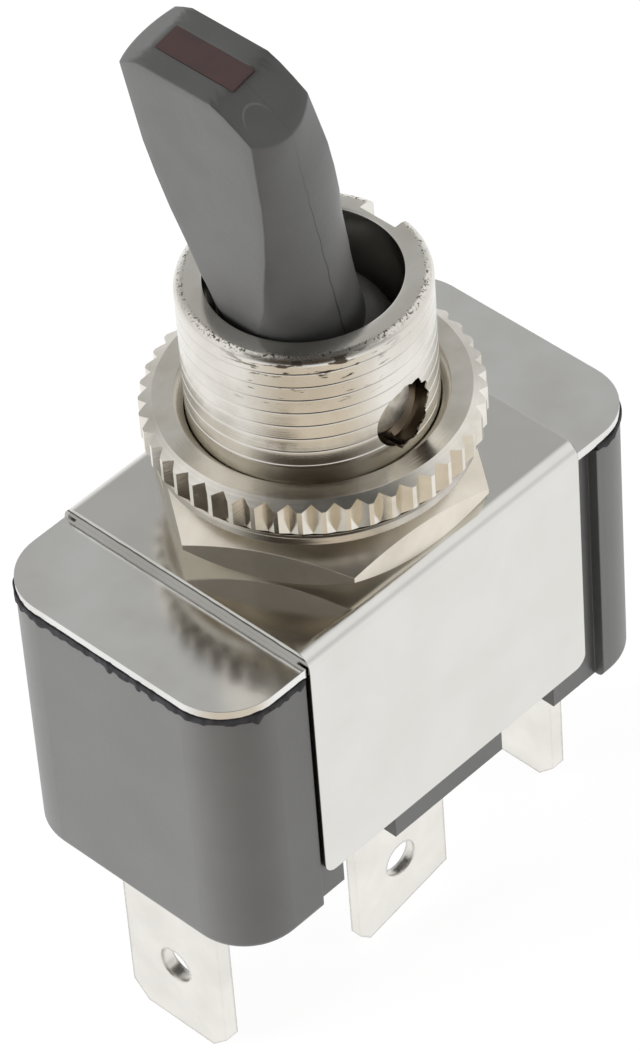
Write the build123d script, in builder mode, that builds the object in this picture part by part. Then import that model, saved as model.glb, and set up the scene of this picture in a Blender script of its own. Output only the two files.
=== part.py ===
from build123d import *
from math import cos, pi, radians, sin, sqrt
import os

# Illuminated toggle switch with a duckbill lever, a threaded bushing, a metal
# frame crimped round a moulded housing and three blade terminals.
# Millimetres. Origin on the bushing's axis, on the top face of the frame strap.
# X runs along the body, Y across it, +Z up through the lever.

# ---------------------------------------------------------------- body stack
BODY_LENGTH = 28.75
BODY_WIDTH = 15.55
BODY_CORNER_R = 3.1
BODY_DEPTH = 16.8  # strap's top face down to the feet of the housing
STRAP_THICK = 0.65
PLATE_THICK = 0.5
GASKET_THICK = 0.3
SEAT_GAP = 0.03  # stand-off between curved or turned faces that touch

# ---------------------------------------------------------------- frame strap
STRAP_LEFT_MARGIN = 5.295  # bare plate beyond the strap at the -X end
STRAP_RIGHT_MARGIN = 5.055
STRAP_DROP = 14.5  # length of its side flanges
STRAP_BEND_R = 0.85
STRAP_CORNER_R = 0.7
FLANGE_PROUD = 0.155  # a flange's outer face beyond the side of the body
FLANGE_GAP = 0.08  # between a flange and the floor of its recess
RECESS_LEFT_SLACK = 0.17  # the recess runs past the strap by this much
RECESS_RIGHT_SLACK = 1.43
TAB_REACH = 2.4  # crimped tabs, folded into the notches under the housing
TAB_SIDE_GAP = 0.35

# ---------------------------------------------------------------- housing
HOUSING_WALL = 1.45
RECESS_WALL = 1.3
CAVITY_CORNER_R = 1.6
FLOOR_THICK = 4.2  # under the cavity, with the feet
NOTCHES = ((-7.25, -3.65), (3.95, 7.7))  # gaps between the three feet, along X
FOOT_EDGE_R = 0.45
STOP_CLEAR = 0.7  # from the stop to the end of the earth terminal's foot
STOP_SIZE = (1.4, 4.4)

# ---------------------------------------------------------------- bushing
THREAD_R = 5.95  # 15/32 inch thread, crest radius
BUSHING_HEIGHT = 12.8
BUSHING_RIM_CHAMFER = 0.4
BUSHING_WALL = 1.35
KEYWAY_WIDTH = 2.2
KEYWAY_DEPTH = 1.0
SPIGOT_STEP = 0.8  # the spigot is this much smaller than the thread
FLARE_STEP = 0.25
FLARE_THICK = 0.6
RELIEF_DEPTH = 0.4  # run-out groove at the foot of the free thread
RELIEF_WIDTH = 0.55
THREAD_FIT = 0.04  # nuts and washers over the thread crests

# ---------------------------------------------------------------- pivot
PIVOT_HEIGHT = 7.5
PIVOT_R = 1.58
PIVOT_BORE_R = 1.6
PIVOT_RECESS = 0.95  # pin ends below the thread crests
PIVOT_INNER_Y = 2.0
PIVOT_END_CHAMFER = 0.25
BALL_FIT = 0.08
PIVOT_FIT = 0.05

# ---------------------------------------------------------------- nuts and washers
HEX_WALL = 1.3  # thread crest to the middle of a flat
HEX_THICK = 2.9
HEX_TURN = -5.0  # how far the nut happened to be turned, degrees
HEX_SEAT_WALL = 0.65
HEX_CORNER_LOW = 1.0
HEX_CORNER_HIGH = 1.28
HEX_FLAT_HIGH = 1.85
HEX_BASE_STEP = 0.15
WASHER_WALL = 1.71
WASHER_THICK = 0.6
WASHER_FIT = 0.15
WASHER_EDGE = 0.1
LOCK_WALL = 1.4
LOCK_RING = 0.65
LOCK_THICK = 0.45
LOCK_TEETH = 12
LOCK_TOOTH_WIDTH = 1.25
LOCK_TWIST = 18
KNURL_WALL = 2.15  # thread crest to the tips of the teeth
KNURL_SLOPE = 0.63
KNURL_TEETH = 46
KNURL_DEPTH = 0.48
KNURL_THICK = 1.37
KNURL_BEVEL = 0.24
KNURL_MOUTH = 0.47

# ---------------------------------------------------------------- lever
LEVER_LEAN = 13.0  # each way from upright; it rests leaning towards -X
LEVER_NECK = 2.6  # distances up the lever are from its pivot
LEVER_TIP = 21.6
NECK_ROOM = (1.42, 1.32)  # bore to the neck's faces across X and across Y
NECK_CORNER_FLAT = 0.13
TIP_HALF = (1.78, 4.3)
TIP_CORNER_R = 0.4
CORNER_CHORDS = 6  # the lever's rounded corners are drawn as this many flats
TIP_FLAT_HALF = 2.8
TIP_DROP = 1.1
TAIL_R = 2.1

# ---------------------------------------------------------------- lamp
LENS_SIZE = (1.42, 4.66)
LENS_DEPTH = 3.2
LENS_FIT = 0.04
LED_R = 1.5
LED_FLANGE_R = 1.58
LED_FLANGE_THICK = 0.8
LED_LENGTH = 4.8
WIREWAY_R = 1.3
WIREWAY_FOOT = 4.9
LEAD_R = 0.25
LEAD_SPREAD = 0.6
LEAD_BEND_R = 0.75
PORT_R = 0.45
PORT_DOWN = 4.35
LEAD_RUN_Y = 3.1
RESISTOR_R = 0.55
RESISTOR_SPAN = (7.6, 10.8)

# ---------------------------------------------------------------- plunger and rocker
PLUNGER_R = 1.2
PLUNGER_FIT = 0.05
TROUGH_DROP = 2.5  # rocker's axis to the plunger's round tip at mid swing
PLUNGER_BARE = 3.0  # tip's centre to the end of the lever's tail
PLUNGER_LENGTH = 6.2
SPRING_SEAT = 5.6
SPRING_WIRE_R = 0.16
SPRING_R = 0.95
SPRING_TURNS = 4
FULCRUM_RISE = 2.6  # rocker's axis above the cavity floor
FULCRUM_R = 0.42
ROCKER_TILT = 8.0
ROCKER_THICK = 0.8
ROCKER_WIDTH = 5.0
ROCKER_REACH = 9.7
ROCKER_ARM_UNDER = 0.5
TROUGH_HALF = 4.4
TROUGH_GAP = 0.05
CONTACT_X = 8.4
CONTACT_R = 1.2
CONTACT_DOME_R = 3.0
CONTACT_SHANK_R = 0.6
FIXED_CONTACT_R = 1.5
FIXED_CONTACT_HEIGHT = 0.6
RIVET_R = 0.8  # shank of the fixed contact
RIVET_DEPTH = 2.0  # blind holes for rivets below the cavity floor
RIVET_FIT = 0.02
RIVET_HEAD = 0.35
FULCRUM_HALF = (2.3, 2.4)
FULCRUM_BASE = 0.6
FULCRUM_RIVET_X = 1.5
FULCRUM_RIVET_R = 0.5
EARTH_RIVET_BACK = 1.7  # from the middle of the earth blade
EARTH_RIVET_R = 0.6

# ---------------------------------------------------------------- terminals
BLADE_WIDTH = 6.35
END_BLADE_THICK = 0.8
MIDDLE_BLADE_THICK = 0.6
BLADE_TIP_DEPTH = 28.15
MIDDLE_TIP_DEPTH = 27.75
BLADE_HOLE_R = 1.0
BLADE_HOLE_DEPTH = 24.0
BLADE_CHAMFER = 0.95
MIDDLE_BEVEL_RISE = 1.1  # the middle blade's end is cut on the slant
MIDDLE_CORNER = 0.7
LOAD_BLADE_INSET = 2.575  # middle of the blade from the end of the body
EARTH_BLADE_INSET = 2.275
MIDDLE_BLADE_Y = -3.3
MIDDLE_BLADE_X = 0.1
SLOT_FIT = 0.05
LOAD_FOOT_REACH = 2.1  # beyond the middle of the fixed contact
EARTH_FOOT_REACH = 1.4  # beyond the middle of the rivet
MIDDLE_FOOT_END = 3.2

# ---------------------------------------------------------------- derived places
PLATE_TOP = -STRAP_THICK
PLATE_UNDER = PLATE_TOP - PLATE_THICK
HOUSING_TOP = PLATE_UNDER - GASKET_THICK
HOUSING_FOOT = -BODY_DEPTH
CAVITY_FLOOR = FLOOR_THICK - BODY_DEPTH
FLANGE_OUT = BODY_WIDTH / 2 + FLANGE_PROUD
FLANGE_IN = FLANGE_OUT - STRAP_THICK
RECESS_FACE = FLANGE_IN - FLANGE_GAP
NOTCH_CEILING = -STRAP_DROP + STRAP_THICK
STRAP_LEFT = STRAP_LEFT_MARGIN - BODY_LENGTH / 2
STRAP_RIGHT = BODY_LENGTH / 2 - STRAP_RIGHT_MARGIN
STRAP_WIDTH = STRAP_RIGHT - STRAP_LEFT
RECESS_START = STRAP_LEFT - RECESS_LEFT_SLACK
RECESS_END = STRAP_RIGHT + RECESS_RIGHT_SLACK
BORE_R = THREAD_R - BUSHING_WALL
KEYWAY_FLOOR = THREAD_R - KEYWAY_DEPTH
SPIGOT_R = THREAD_R - SPIGOT_STEP
FLARE_R = THREAD_R - FLARE_STEP
BALL_R = BORE_R - BALL_FIT
HEX_FLATS = 2 * (THREAD_R + HEX_WALL)
HEX_SEAT_R = THREAD_R + HEX_SEAT_WALL
HEX_BASE_R = THREAD_R + HEX_WALL - HEX_BASE_STEP
WASHER_R = THREAD_R + WASHER_WALL
LOCK_R = THREAD_R + LOCK_WALL
KNURL_R = THREAD_R + KNURL_WALL
KNURL_FACE_R = KNURL_R - KNURL_SLOPE
KNURL_MOUTH_R = THREAD_R + KNURL_MOUTH
NECK_HALF = (BORE_R - NECK_ROOM[0], BORE_R - NECK_ROOM[1])
NECK_CORNER_R = NECK_HALF[0] - NECK_CORNER_FLAT
WASHER_FOOT = HEX_THICK
LOCK_FOOT = WASHER_FOOT + WASHER_THICK
LOCK_HEIGHT = LOCK_TOOTH_WIDTH * sin(radians(LOCK_TWIST)) + LOCK_THICK * cos(radians(LOCK_TWIST))
KNURL_FOOT = LOCK_FOOT + LOCK_HEIGHT
KNURL_TOP = KNURL_FOOT + KNURL_THICK
THREAD_FOOT = KNURL_TOP + SEAT_GAP
NUT_BORE_R = THREAD_R + THREAD_FIT
FULCRUM_Z = CAVITY_FLOOR + FULCRUM_RISE
PLUNGER_TIP = PIVOT_HEIGHT - FULCRUM_Z - TROUGH_DROP  # below the lever's pivot
TAIL_END = PLUNGER_TIP - PLUNGER_BARE
PLUNGER_TOP = PLUNGER_TIP - PLUNGER_LENGTH
LOAD_BLADE_X = LOAD_BLADE_INSET - BODY_LENGTH / 2
EARTH_BLADE_X = BODY_LENGTH / 2 - EARTH_BLADE_INSET
EARTH_RIVET_X = EARTH_BLADE_X - EARTH_RIVET_BACK
LOAD_FOOT_END = LOAD_FOOT_REACH - CONTACT_X
EARTH_FOOT_END = EARTH_RIVET_X - EARTH_FOOT_REACH
STOP_X = EARTH_FOOT_END - STOP_CLEAR - STOP_SIZE[0] / 2
END_FOOT_TOP = CAVITY_FLOOR + END_BLADE_THICK
MIDDLE_FOOT_TOP = CAVITY_FLOOR + MIDDLE_BLADE_THICK
BLADE_TIP = -BLADE_TIP_DEPTH
MIDDLE_TIP = -MIDDLE_TIP_DEPTH
BLADE_HOLE_Z = -BLADE_HOLE_DEPTH
RIVET_FOOT = CAVITY_FLOOR - RIVET_DEPTH

lean = radians(LEVER_LEAN)
tilt = radians(ROCKER_TILT)
LEVER = Plane(
    origin=(0, 0, PIVOT_HEIGHT), x_dir=(cos(lean), 0, sin(lean)), z_dir=(-sin(lean), 0, cos(lean))
)
ROCKER_SIDE = Plane(
    origin=(0, 0, FULCRUM_Z), x_dir=(cos(tilt), 0, -sin(tilt)), z_dir=(0, -1, 0)
)

# The plunger's tip runs a trough whose mirror-image halves each hold it at one end
# of its swing; these are its sizes about the rocker's axis.
across_pivots = PIVOT_HEIGHT - FULCRUM_Z
tip_mid = across_pivots - PLUNGER_TIP
tip_x = PLUNGER_TIP * sin(lean)
tip_z = across_pivots - PLUNGER_TIP * cos(lean)
swing_x = tip_x * cos(tilt) - tip_z * sin(tilt)
swing_rise = tip_x * sin(tilt) + tip_z * cos(tilt) - tip_mid
path_r = (swing_x**2 + swing_rise**2) / (2 * swing_rise)
trough_r = path_r + PLUNGER_R + TROUGH_GAP
trough_centre = tip_mid + path_r
line_r = trough_r + ROCKER_THICK / 2
arm_line = ROCKER_ARM_UNDER + ROCKER_THICK / 2
crest_z = trough_centre - sqrt(line_r**2 - TROUGH_HALF**2)
arm_start = TROUGH_HALF + (crest_z - arm_line) * 0.6

RIVETS = (
    (-CONTACT_X, RIVET_R),
    (-FULCRUM_RIVET_X, FULCRUM_RIVET_R),
    (FULCRUM_RIVET_X, FULCRUM_RIVET_R),
    (EARTH_RIVET_X, EARTH_RIVET_R),
)

# The moving contact's dome meets the fixed contact with the rocker tilted.
contact_face = END_FOOT_TOP + FIXED_CONTACT_HEIGHT + SEAT_GAP
dome_centre = (contact_face + CONTACT_DOME_R - FULCRUM_Z + CONTACT_X * sin(tilt)) / cos(tilt)
# The stop stands just under the +X arm when the lever is thrown over, below the
# place that the arm's underside then reaches at the stop's outer edge.
stop_edge = STOP_X + STOP_SIZE[0] / 2
stop_top = FULCRUM_Z + ROCKER_ARM_UNDER * cos(tilt) - stop_edge * sin(tilt) - SEAT_GAP


def rocker_level(height):
    """The plane across the rocker at a height above its axis."""
    return Plane(
        origin=(height * sin(tilt), 0, FULCRUM_Z + height * cos(tilt)),
        x_dir=(cos(tilt), 0, -sin(tilt)),
        z_dir=(sin(tilt), 0, cos(tilt)),
    )


def half_size_at(distance):
    """The lever's half thickness and half width at a distance up from its pivot."""
    share = (distance - LEVER_NECK) / (LEVER_TIP - LEVER_NECK)
    return [near + (far - near) * share for near, far in zip(NECK_HALF, TIP_HALF)]


def rounded_corners(half, corner):
    """Points round a rectangle whose corner arcs are drawn as chords, so that it lofts flat."""
    points = []
    for quarter, (x_side, y_side) in enumerate(((1, 1), (-1, 1), (-1, -1), (1, -1))):
        for step in range(CORNER_CHORDS + 1):
            turn = radians(90 * (quarter + step / CORNER_CHORDS))
            points.append(
                (
                    x_side * (half[0] - corner) + corner * cos(turn),
                    y_side * (half[1] - corner) + corner * sin(turn),
                )
            )
    return points


# ================================================================ frame and housing


def body_outline(start, end):
    """The rounded body outline, narrowed along both sides where the strap comes down."""
    RectangleRounded(BODY_LENGTH, BODY_WIDTH, BODY_CORNER_R)
    depth = BODY_WIDTH / 2 - RECESS_FACE
    middle = (start + end) / 2
    with Locations((middle, BODY_WIDTH / 2), (middle, -BODY_WIDTH / 2)):
        Rectangle(end - start, 2 * depth, mode=Mode.SUBTRACT)


# Moulded housing: an open-topped box with recesses for the flanges and three feet.
with BuildPart() as housing:
    with BuildSketch(Plane.XY.offset(HOUSING_FOOT)):
        body_outline(RECESS_START, RECESS_END)
    extrude(amount=HOUSING_TOP - HOUSING_FOOT)
    with BuildSketch(Plane.XY.offset(CAVITY_FLOOR)):
        RectangleRounded(
            BODY_LENGTH - 2 * HOUSING_WALL, 2 * (RECESS_FACE - RECESS_WALL), CAVITY_CORNER_R
        )
    extrude(amount=HOUSING_TOP - CAVITY_FLOOR, mode=Mode.SUBTRACT)
    for start, end in NOTCHES:
        with BuildSketch(Plane.XY.offset(HOUSING_FOOT)):
            with Locations(((start + end) / 2, 0)):
                Rectangle(end - start, BODY_WIDTH)
        extrude(amount=NOTCH_CEILING - HOUSING_FOOT, mode=Mode.SUBTRACT)
    ends = housing.faces().filter_by(Axis.Z).sort_by(Axis.Z)[:3].edges()
    fillet(
        [edge for edge in ends if abs(edge.center().X) > BODY_LENGTH / 2 - BODY_CORNER_R],
        FOOT_EDGE_R,
    )
    # slots that the three blades are pushed down through
    with BuildSketch(Plane.XY.offset(CAVITY_FLOOR)):
        with Locations((LOAD_BLADE_X, 0), (EARTH_BLADE_X, 0)):
            Rectangle(END_BLADE_THICK + 2 * SLOT_FIT, BLADE_WIDTH + 2 * SLOT_FIT)
        with Locations((MIDDLE_BLADE_X, MIDDLE_BLADE_Y)):
            Rectangle(BLADE_WIDTH + 2 * SLOT_FIT, MIDDLE_BLADE_THICK + 2 * SLOT_FIT)
    extrude(amount=HOUSING_FOOT - CAVITY_FLOOR, mode=Mode.SUBTRACT)
    # blind holes that the rivets are driven into
    with BuildSketch(Plane.XY.offset(CAVITY_FLOOR)):
        for rivet_x, rivet_r in RIVETS:
            with Locations((rivet_x, 0)):
                Circle(rivet_r + RIVET_FIT)
    extrude(amount=RIVET_FOOT - CAVITY_FLOOR, mode=Mode.SUBTRACT)
    # stop for the rocker's +X arm
    with BuildSketch(Plane.XY.offset(CAVITY_FLOOR)):
        with Locations((STOP_X, 0)):
            Rectangle(*STOP_SIZE)
    extrude(amount=stop_top - CAVITY_FLOOR)

# Sheet of black insulating fibre between the housing's rim and the metal plate.
with BuildPart() as gasket:
    with BuildSketch(Plane.XY.offset(HOUSING_TOP)):
        body_outline(RECESS_START, RECESS_END)
        Circle(FLARE_R + 0.25, mode=Mode.SUBTRACT)
    extrude(amount=GASKET_THICK)

# Polished cover plate, narrowed where the strap's flanges pass it.
with BuildPart() as cover_plate:
    with BuildSketch(Plane.XY.offset(PLATE_UNDER)):
        body_outline(STRAP_LEFT - FLANGE_GAP, STRAP_RIGHT + FLANGE_GAP)
        Circle(SPIGOT_R + THREAD_FIT, mode=Mode.SUBTRACT)
    extrude(amount=PLATE_THICK)

# U-shaped frame strap, with four tabs crimped under the housing.
with BuildPart() as strap:
    with BuildSketch(Plane.YZ.offset(STRAP_LEFT)):
        with Locations((0, -STRAP_DROP / 2)):
            Rectangle(2 * FLANGE_OUT, STRAP_DROP)
        with Locations((0, -STRAP_THICK - STRAP_DROP / 2)):
            Rectangle(2 * FLANGE_IN, STRAP_DROP, mode=Mode.SUBTRACT)
    extrude(amount=STRAP_WIDTH)
    long_edges = strap.edges().filter_by(Axis.X)
    fillet(long_edges.group_by(Axis.Z)[-1], STRAP_BEND_R)
    fillet(long_edges.filter_by(lambda e: abs(e.center().Z + STRAP_THICK) < 0.01), FLANGE_GAP)
    foot_edges = strap.edges().filter_by(Axis.Y).group_by(Axis.Z)[0]
    fillet(foot_edges, STRAP_CORNER_R)
    for start, end in NOTCHES:
        tab_length = end - start - 2 * TAB_SIDE_GAP
        for side in (1, -1):
            with BuildSketch(Plane.XY.offset(-STRAP_DROP)):
                with Locations(((start + end) / 2, side * (FLANGE_OUT - TAB_REACH / 2))):
                    Rectangle(tab_length, TAB_REACH)
            extrude(amount=STRAP_THICK)
    Hole(SPIGOT_R + THREAD_FIT)

# ================================================================ bushing and pivot

# Threaded bushing: shoulder on the strap, spigot flared over under the plate.
with BuildPart() as bushing:
    with BuildSketch(Plane.XZ):
        with BuildLine():
            Polyline(
                (BORE_R, PLATE_UNDER - FLARE_THICK),
                (FLARE_R, PLATE_UNDER - FLARE_THICK),
                (FLARE_R, PLATE_UNDER),
                (SPIGOT_R, PLATE_UNDER),
                (SPIGOT_R, 0),
                (THREAD_R, 0),
                (THREAD_R, THREAD_FOOT - RELIEF_WIDTH),
                (THREAD_R - RELIEF_DEPTH, THREAD_FOOT - RELIEF_WIDTH / 2),
                (THREAD_R, THREAD_FOOT),
                (THREAD_R, BUSHING_HEIGHT - BUSHING_RIM_CHAMFER),
                (THREAD_R - BUSHING_RIM_CHAMFER, BUSHING_HEIGHT),
                (BORE_R + 0.12, BUSHING_HEIGHT),
                (BORE_R, BUSHING_HEIGHT - 0.12),
                close=True,
            )
        make_face()
    revolve(axis=Axis.Z)
    # keyway down the +X side
    with BuildSketch(Plane.XY):
        with Locations((KEYWAY_FLOOR + THREAD_R / 2, 0)):
            Rectangle(THREAD_R, KEYWAY_WIDTH)
    extrude(amount=BUSHING_HEIGHT, mode=Mode.SUBTRACT)
    # cross hole for the two pivot pins
    with BuildSketch(Plane.XZ.offset(-THREAD_R)):
        with Locations((0, PIVOT_HEIGHT)):
            Circle(PIVOT_BORE_R)
    extrude(amount=2 * THREAD_R, mode=Mode.SUBTRACT)


def pivot_pin(side):
    """One turned pin with a chamfered outer end; side is +1 at the back and -1 at the front."""
    with BuildPart() as pin:
        with BuildSketch(Plane.XZ.offset(-side * PIVOT_INNER_Y)):
            with Locations((0, PIVOT_HEIGHT)):
                Circle(PIVOT_R)
        extrude(amount=-side * (THREAD_R - PIVOT_RECESS - PIVOT_INNER_Y))
        outer_rim = pin.edges().filter_by(GeomType.CIRCLE).sort_by(Axis((0, 0, 0), (0, side, 0)))[-1]
        chamfer(outer_rim, PIVOT_END_CHAMFER)
    return pin


pivot_pin_front = pivot_pin(-1)
pivot_pin_rear = pivot_pin(1)

# ================================================================ nuts and washers

# Hexagon nut, turned to a cone above and below its flats, with a washer seat on top.
hex_corner_r = HEX_FLATS / sqrt(3)
with BuildPart() as hex_nut:
    with BuildSketch(Plane.XY):
        RegularPolygon(hex_corner_r, 6, rotation=HEX_TURN)
    extrude(amount=HEX_THICK)
    cone_slope = (HEX_FLAT_HIGH - HEX_CORNER_HIGH) / (hex_corner_r - HEX_FLATS / 2)
    cone_top = HEX_FLAT_HIGH + (HEX_FLATS / 2 - HEX_SEAT_R) * cone_slope
    with BuildSketch(Plane.XZ):
        Polygon(
            (0, 0),
            (HEX_BASE_R, 0),
            (hex_corner_r, HEX_CORNER_LOW),
            (hex_corner_r, HEX_CORNER_HIGH),
            (HEX_SEAT_R, cone_top),
            (HEX_SEAT_R, HEX_THICK),
            (0, HEX_THICK),
            align=None,
        )
    revolve(axis=Axis.Z, mode=Mode.INTERSECT)
    Hole(NUT_BORE_R)

# Plain washer.
with BuildPart() as flat_washer:
    with BuildSketch(Plane.XY.offset(WASHER_FOOT)):
        Circle(WASHER_R)
        Circle(THREAD_R + WASHER_FIT, mode=Mode.SUBTRACT)
    extrude(amount=WASHER_THICK)
    chamfer(flat_washer.edges().filter_by(GeomType.CIRCLE).sort_by(SortBy.RADIUS)[-2:], WASHER_EDGE)

# Lock washer with twisted teeth on its inside.
with BuildPart() as lock_washer:
    ring_foot = LOCK_FOOT + (LOCK_HEIGHT - LOCK_THICK) / 2
    with BuildSketch(Plane.XY.offset(ring_foot)):
        Circle(LOCK_R)
        Circle(LOCK_R - LOCK_RING, mode=Mode.SUBTRACT)
    extrude(amount=LOCK_THICK)
    tooth_from = THREAD_R + WASHER_FIT
    tooth_length = LOCK_R - LOCK_RING - tooth_from + 0.2
    for turn in range(LOCK_TEETH):
        angle = 360 * turn / LOCK_TEETH
        out = Vector(1, 0, 0).rotate(Axis.Z, angle)
        across = Vector(0, 1, 0).rotate(Axis.Z, angle).rotate(Axis((0, 0, 0), out), LOCK_TWIST)
        root = Plane(
            origin=out * tooth_from + Vector(0, 0, ring_foot + LOCK_THICK / 2), x_dir=across, z_dir=out
        )
        with BuildSketch(root):
            Rectangle(LOCK_TOOTH_WIDTH, LOCK_THICK - 0.1)
        extrude(amount=tooth_length)

# Ring nut with coarse straight knurling, the piece that the fingers turn.
with BuildPart() as knurled_nut:
    with BuildSketch(Plane.XZ):
        Polygon(
            (NUT_BORE_R, KNURL_FOOT),
            (KNURL_R - 0.12, KNURL_FOOT),
            (KNURL_R, KNURL_FOOT + 0.12),
            (KNURL_R, KNURL_TOP - KNURL_BEVEL),
            (KNURL_FACE_R, KNURL_TOP),
            (KNURL_MOUTH_R, KNURL_TOP),
            (NUT_BORE_R, KNURL_TOP - (KNURL_MOUTH_R - NUT_BORE_R)),
            align=None,
        )
    revolve(axis=Axis.Z)
    pitch = 2 * pi * KNURL_R / KNURL_TEETH
    with BuildSketch(Plane.XY.offset(KNURL_FOOT)):
        with PolarLocations(0, KNURL_TEETH):
            Polygon(
                (KNURL_R - KNURL_DEPTH, -0.08 * pitch),
                (KNURL_R - KNURL_DEPTH, 0.08 * pitch),
                (KNURL_R + 0.1, 0.46 * pitch),
                (KNURL_R + 0.1, -0.46 * pitch),
                align=None,
            )
    extrude(amount=KNURL_THICK, mode=Mode.SUBTRACT)

# ================================================================ lever and lamp

# Duckbill lever: near-round at the neck, flat and broad at the tip, with a ball
# for the pivot and a hollow tail that holds the plunger.
with BuildPart() as lever:
    for distance, corner in ((LEVER_NECK, NECK_CORNER_R), (LEVER_TIP, TIP_CORNER_R)):
        with BuildSketch(LEVER.offset(distance)):
            Polygon(*rounded_corners(half_size_at(distance), corner), align=None)
    loft(ruled=True)
    # the end face slopes away at both sides of its flat middle
    for side in (1, -1):
        with BuildSketch(Plane(LEVER.origin, x_dir=(0, 1, 0), z_dir=LEVER.x_dir)):
            Polygon(
                (side * TIP_FLAT_HALF, LEVER_TIP),
                (side * TIP_HALF[1], LEVER_TIP - TIP_DROP),
                (side * (TIP_HALF[1] + 1), LEVER_TIP - TIP_DROP),
                (side * (TIP_HALF[1] + 1), LEVER_TIP + 1),
                (side * TIP_FLAT_HALF, LEVER_TIP + 1),
                align=None,
            )
        extrude(amount=2 * TIP_HALF[0], both=True, mode=Mode.SUBTRACT)
    with Locations(LEVER.location):
        Sphere(BALL_R)
    with BuildSketch(LEVER):
        Circle(TAIL_R)
    extrude(amount=-TAIL_END)
    # wireway, lamp pocket, lens window, lead ports, pin sockets and plunger bore
    with BuildSketch(LEVER.offset(-WIREWAY_FOOT)):
        Circle(WIREWAY_R)
    extrude(amount=WIREWAY_FOOT + LEVER_TIP - LENS_DEPTH, mode=Mode.SUBTRACT)
    with BuildSketch(LEVER.offset(LEVER_TIP - LENS_DEPTH)):
        Circle(LED_FLANGE_R + LENS_FIT)
    extrude(amount=-LED_LENGTH, mode=Mode.SUBTRACT)
    with BuildSketch(LEVER.offset(LEVER_TIP - LENS_DEPTH)):
        Rectangle(LENS_SIZE[0] + 2 * LENS_FIT, LENS_SIZE[1] + 2 * LENS_FIT)
    extrude(amount=LENS_DEPTH, mode=Mode.SUBTRACT)
    cross = Plane(LEVER.origin, x_dir=LEVER.x_dir, z_dir=(0, -1, 0))
    with BuildSketch(cross):
        with Locations((0, -PORT_DOWN)):
            Circle(PORT_R)
    extrude(amount=TAIL_R, both=True, mode=Mode.SUBTRACT)
    for side in (1, -1):
        with BuildSketch(cross.offset(side * (PIVOT_INNER_Y - PIVOT_FIT))):
            Circle(PIVOT_R + PIVOT_FIT)
        extrude(amount=side * BALL_R, mode=Mode.SUBTRACT)
    with BuildSketch(LEVER.offset(-TAIL_END)):
        Circle(PLUNGER_R + PLUNGER_FIT)
    extrude(amount=TAIL_END - SPRING_SEAT, mode=Mode.SUBTRACT)

# Tinted lens, flush in the end of the lever.
with BuildPart() as lens:
    with BuildSketch(LEVER.offset(LEVER_TIP - LENS_DEPTH)):
        Rectangle(*LENS_SIZE)
    extrude(amount=LENS_DEPTH)

# Light-emitting diode under the lens, domed end up.
led_base = LEVER_TIP - LENS_DEPTH - LED_LENGTH
with BuildPart() as led:
    with BuildSketch(Plane(LEVER.origin, x_dir=LEVER.x_dir, z_dir=(0, -1, 0))):
        with BuildLine():
            crown = (0, led_base + LED_LENGTH)
            Polyline(
                crown,
                (0, led_base),
                (LED_FLANGE_R, led_base),
                (LED_FLANGE_R, led_base + LED_FLANGE_THICK),
                (LED_R, led_base + LED_FLANGE_THICK),
                (LED_R, led_base + LED_LENGTH - LED_R),
            )
            RadiusArc((LED_R, led_base + LED_LENGTH - LED_R), crown, -LED_R)
        make_face()
    revolve(axis=Axis(LEVER.origin, LEVER.z_dir))


def in_lever(across, distance):
    """A point in the lever's middle plane: across towards +Y, distance up from the pivot."""
    return LEVER.from_local_coords((0, across, distance))


def lamp_lead(points):
    """A round lead along straight runs joined by tangent arcs."""
    with BuildPart() as lead:
        with BuildLine() as route:
            FilletPolyline(*points, radius=LEAD_BEND_R)
        with BuildSketch(Plane(origin=route.line @ 0, z_dir=route.line % 0)):
            RegularPolygon(LEAD_R, 8)
        sweep(path=route.wires()[0])
    return lead


load_lead = lamp_lead(
    [
        in_lever(-LEAD_SPREAD, led_base),
        in_lever(-LEAD_SPREAD, -PORT_DOWN),
        in_lever(-LEAD_RUN_Y, -PORT_DOWN),
        (2.0, -LEAD_RUN_Y, -1.3),
        (-1.5, -4.6, 0.6 * FULCRUM_Z),
        (-7.5, -4.4, FULCRUM_Z - 0.2),
        (LOAD_BLADE_X + 1.4, -2.2, END_FOOT_TOP + LEAD_R),
    ]
)
earth_lead = lamp_lead(
    [
        in_lever(LEAD_SPREAD, led_base),
        in_lever(LEAD_SPREAD, -PORT_DOWN),
        in_lever(LEAD_RUN_Y, -PORT_DOWN),
        (2.0, LEAD_RUN_Y, -1.3),
        (3.2, 4.6, 0.6 * FULCRUM_Z),
        (7.5, 4.4, FULCRUM_Z - 0.2),
        (EARTH_RIVET_X, 2.2, END_FOOT_TOP + LEAD_R),
    ]
)

# Series resistor, threaded on the supply lead inside the wireway.
with BuildPart() as resistor:
    with BuildSketch(LEVER.offset(RESISTOR_SPAN[0])):
        with Locations((0, -LEAD_SPREAD)):
            Circle(RESISTOR_R)
            Circle(LEAD_R + 0.02, mode=Mode.SUBTRACT)
    extrude(amount=RESISTOR_SPAN[1] - RESISTOR_SPAN[0])

# ================================================================ plunger and rocker

# Round-ended plunger sliding in the lever's tail.
with BuildPart() as plunger:
    with BuildSketch(LEVER.offset(-PLUNGER_TIP)):
        Circle(PLUNGER_R)
    extrude(amount=PLUNGER_TIP - PLUNGER_TOP)
    with Locations(LEVER.offset(-PLUNGER_TIP).location):
        Sphere(PLUNGER_R)

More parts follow.
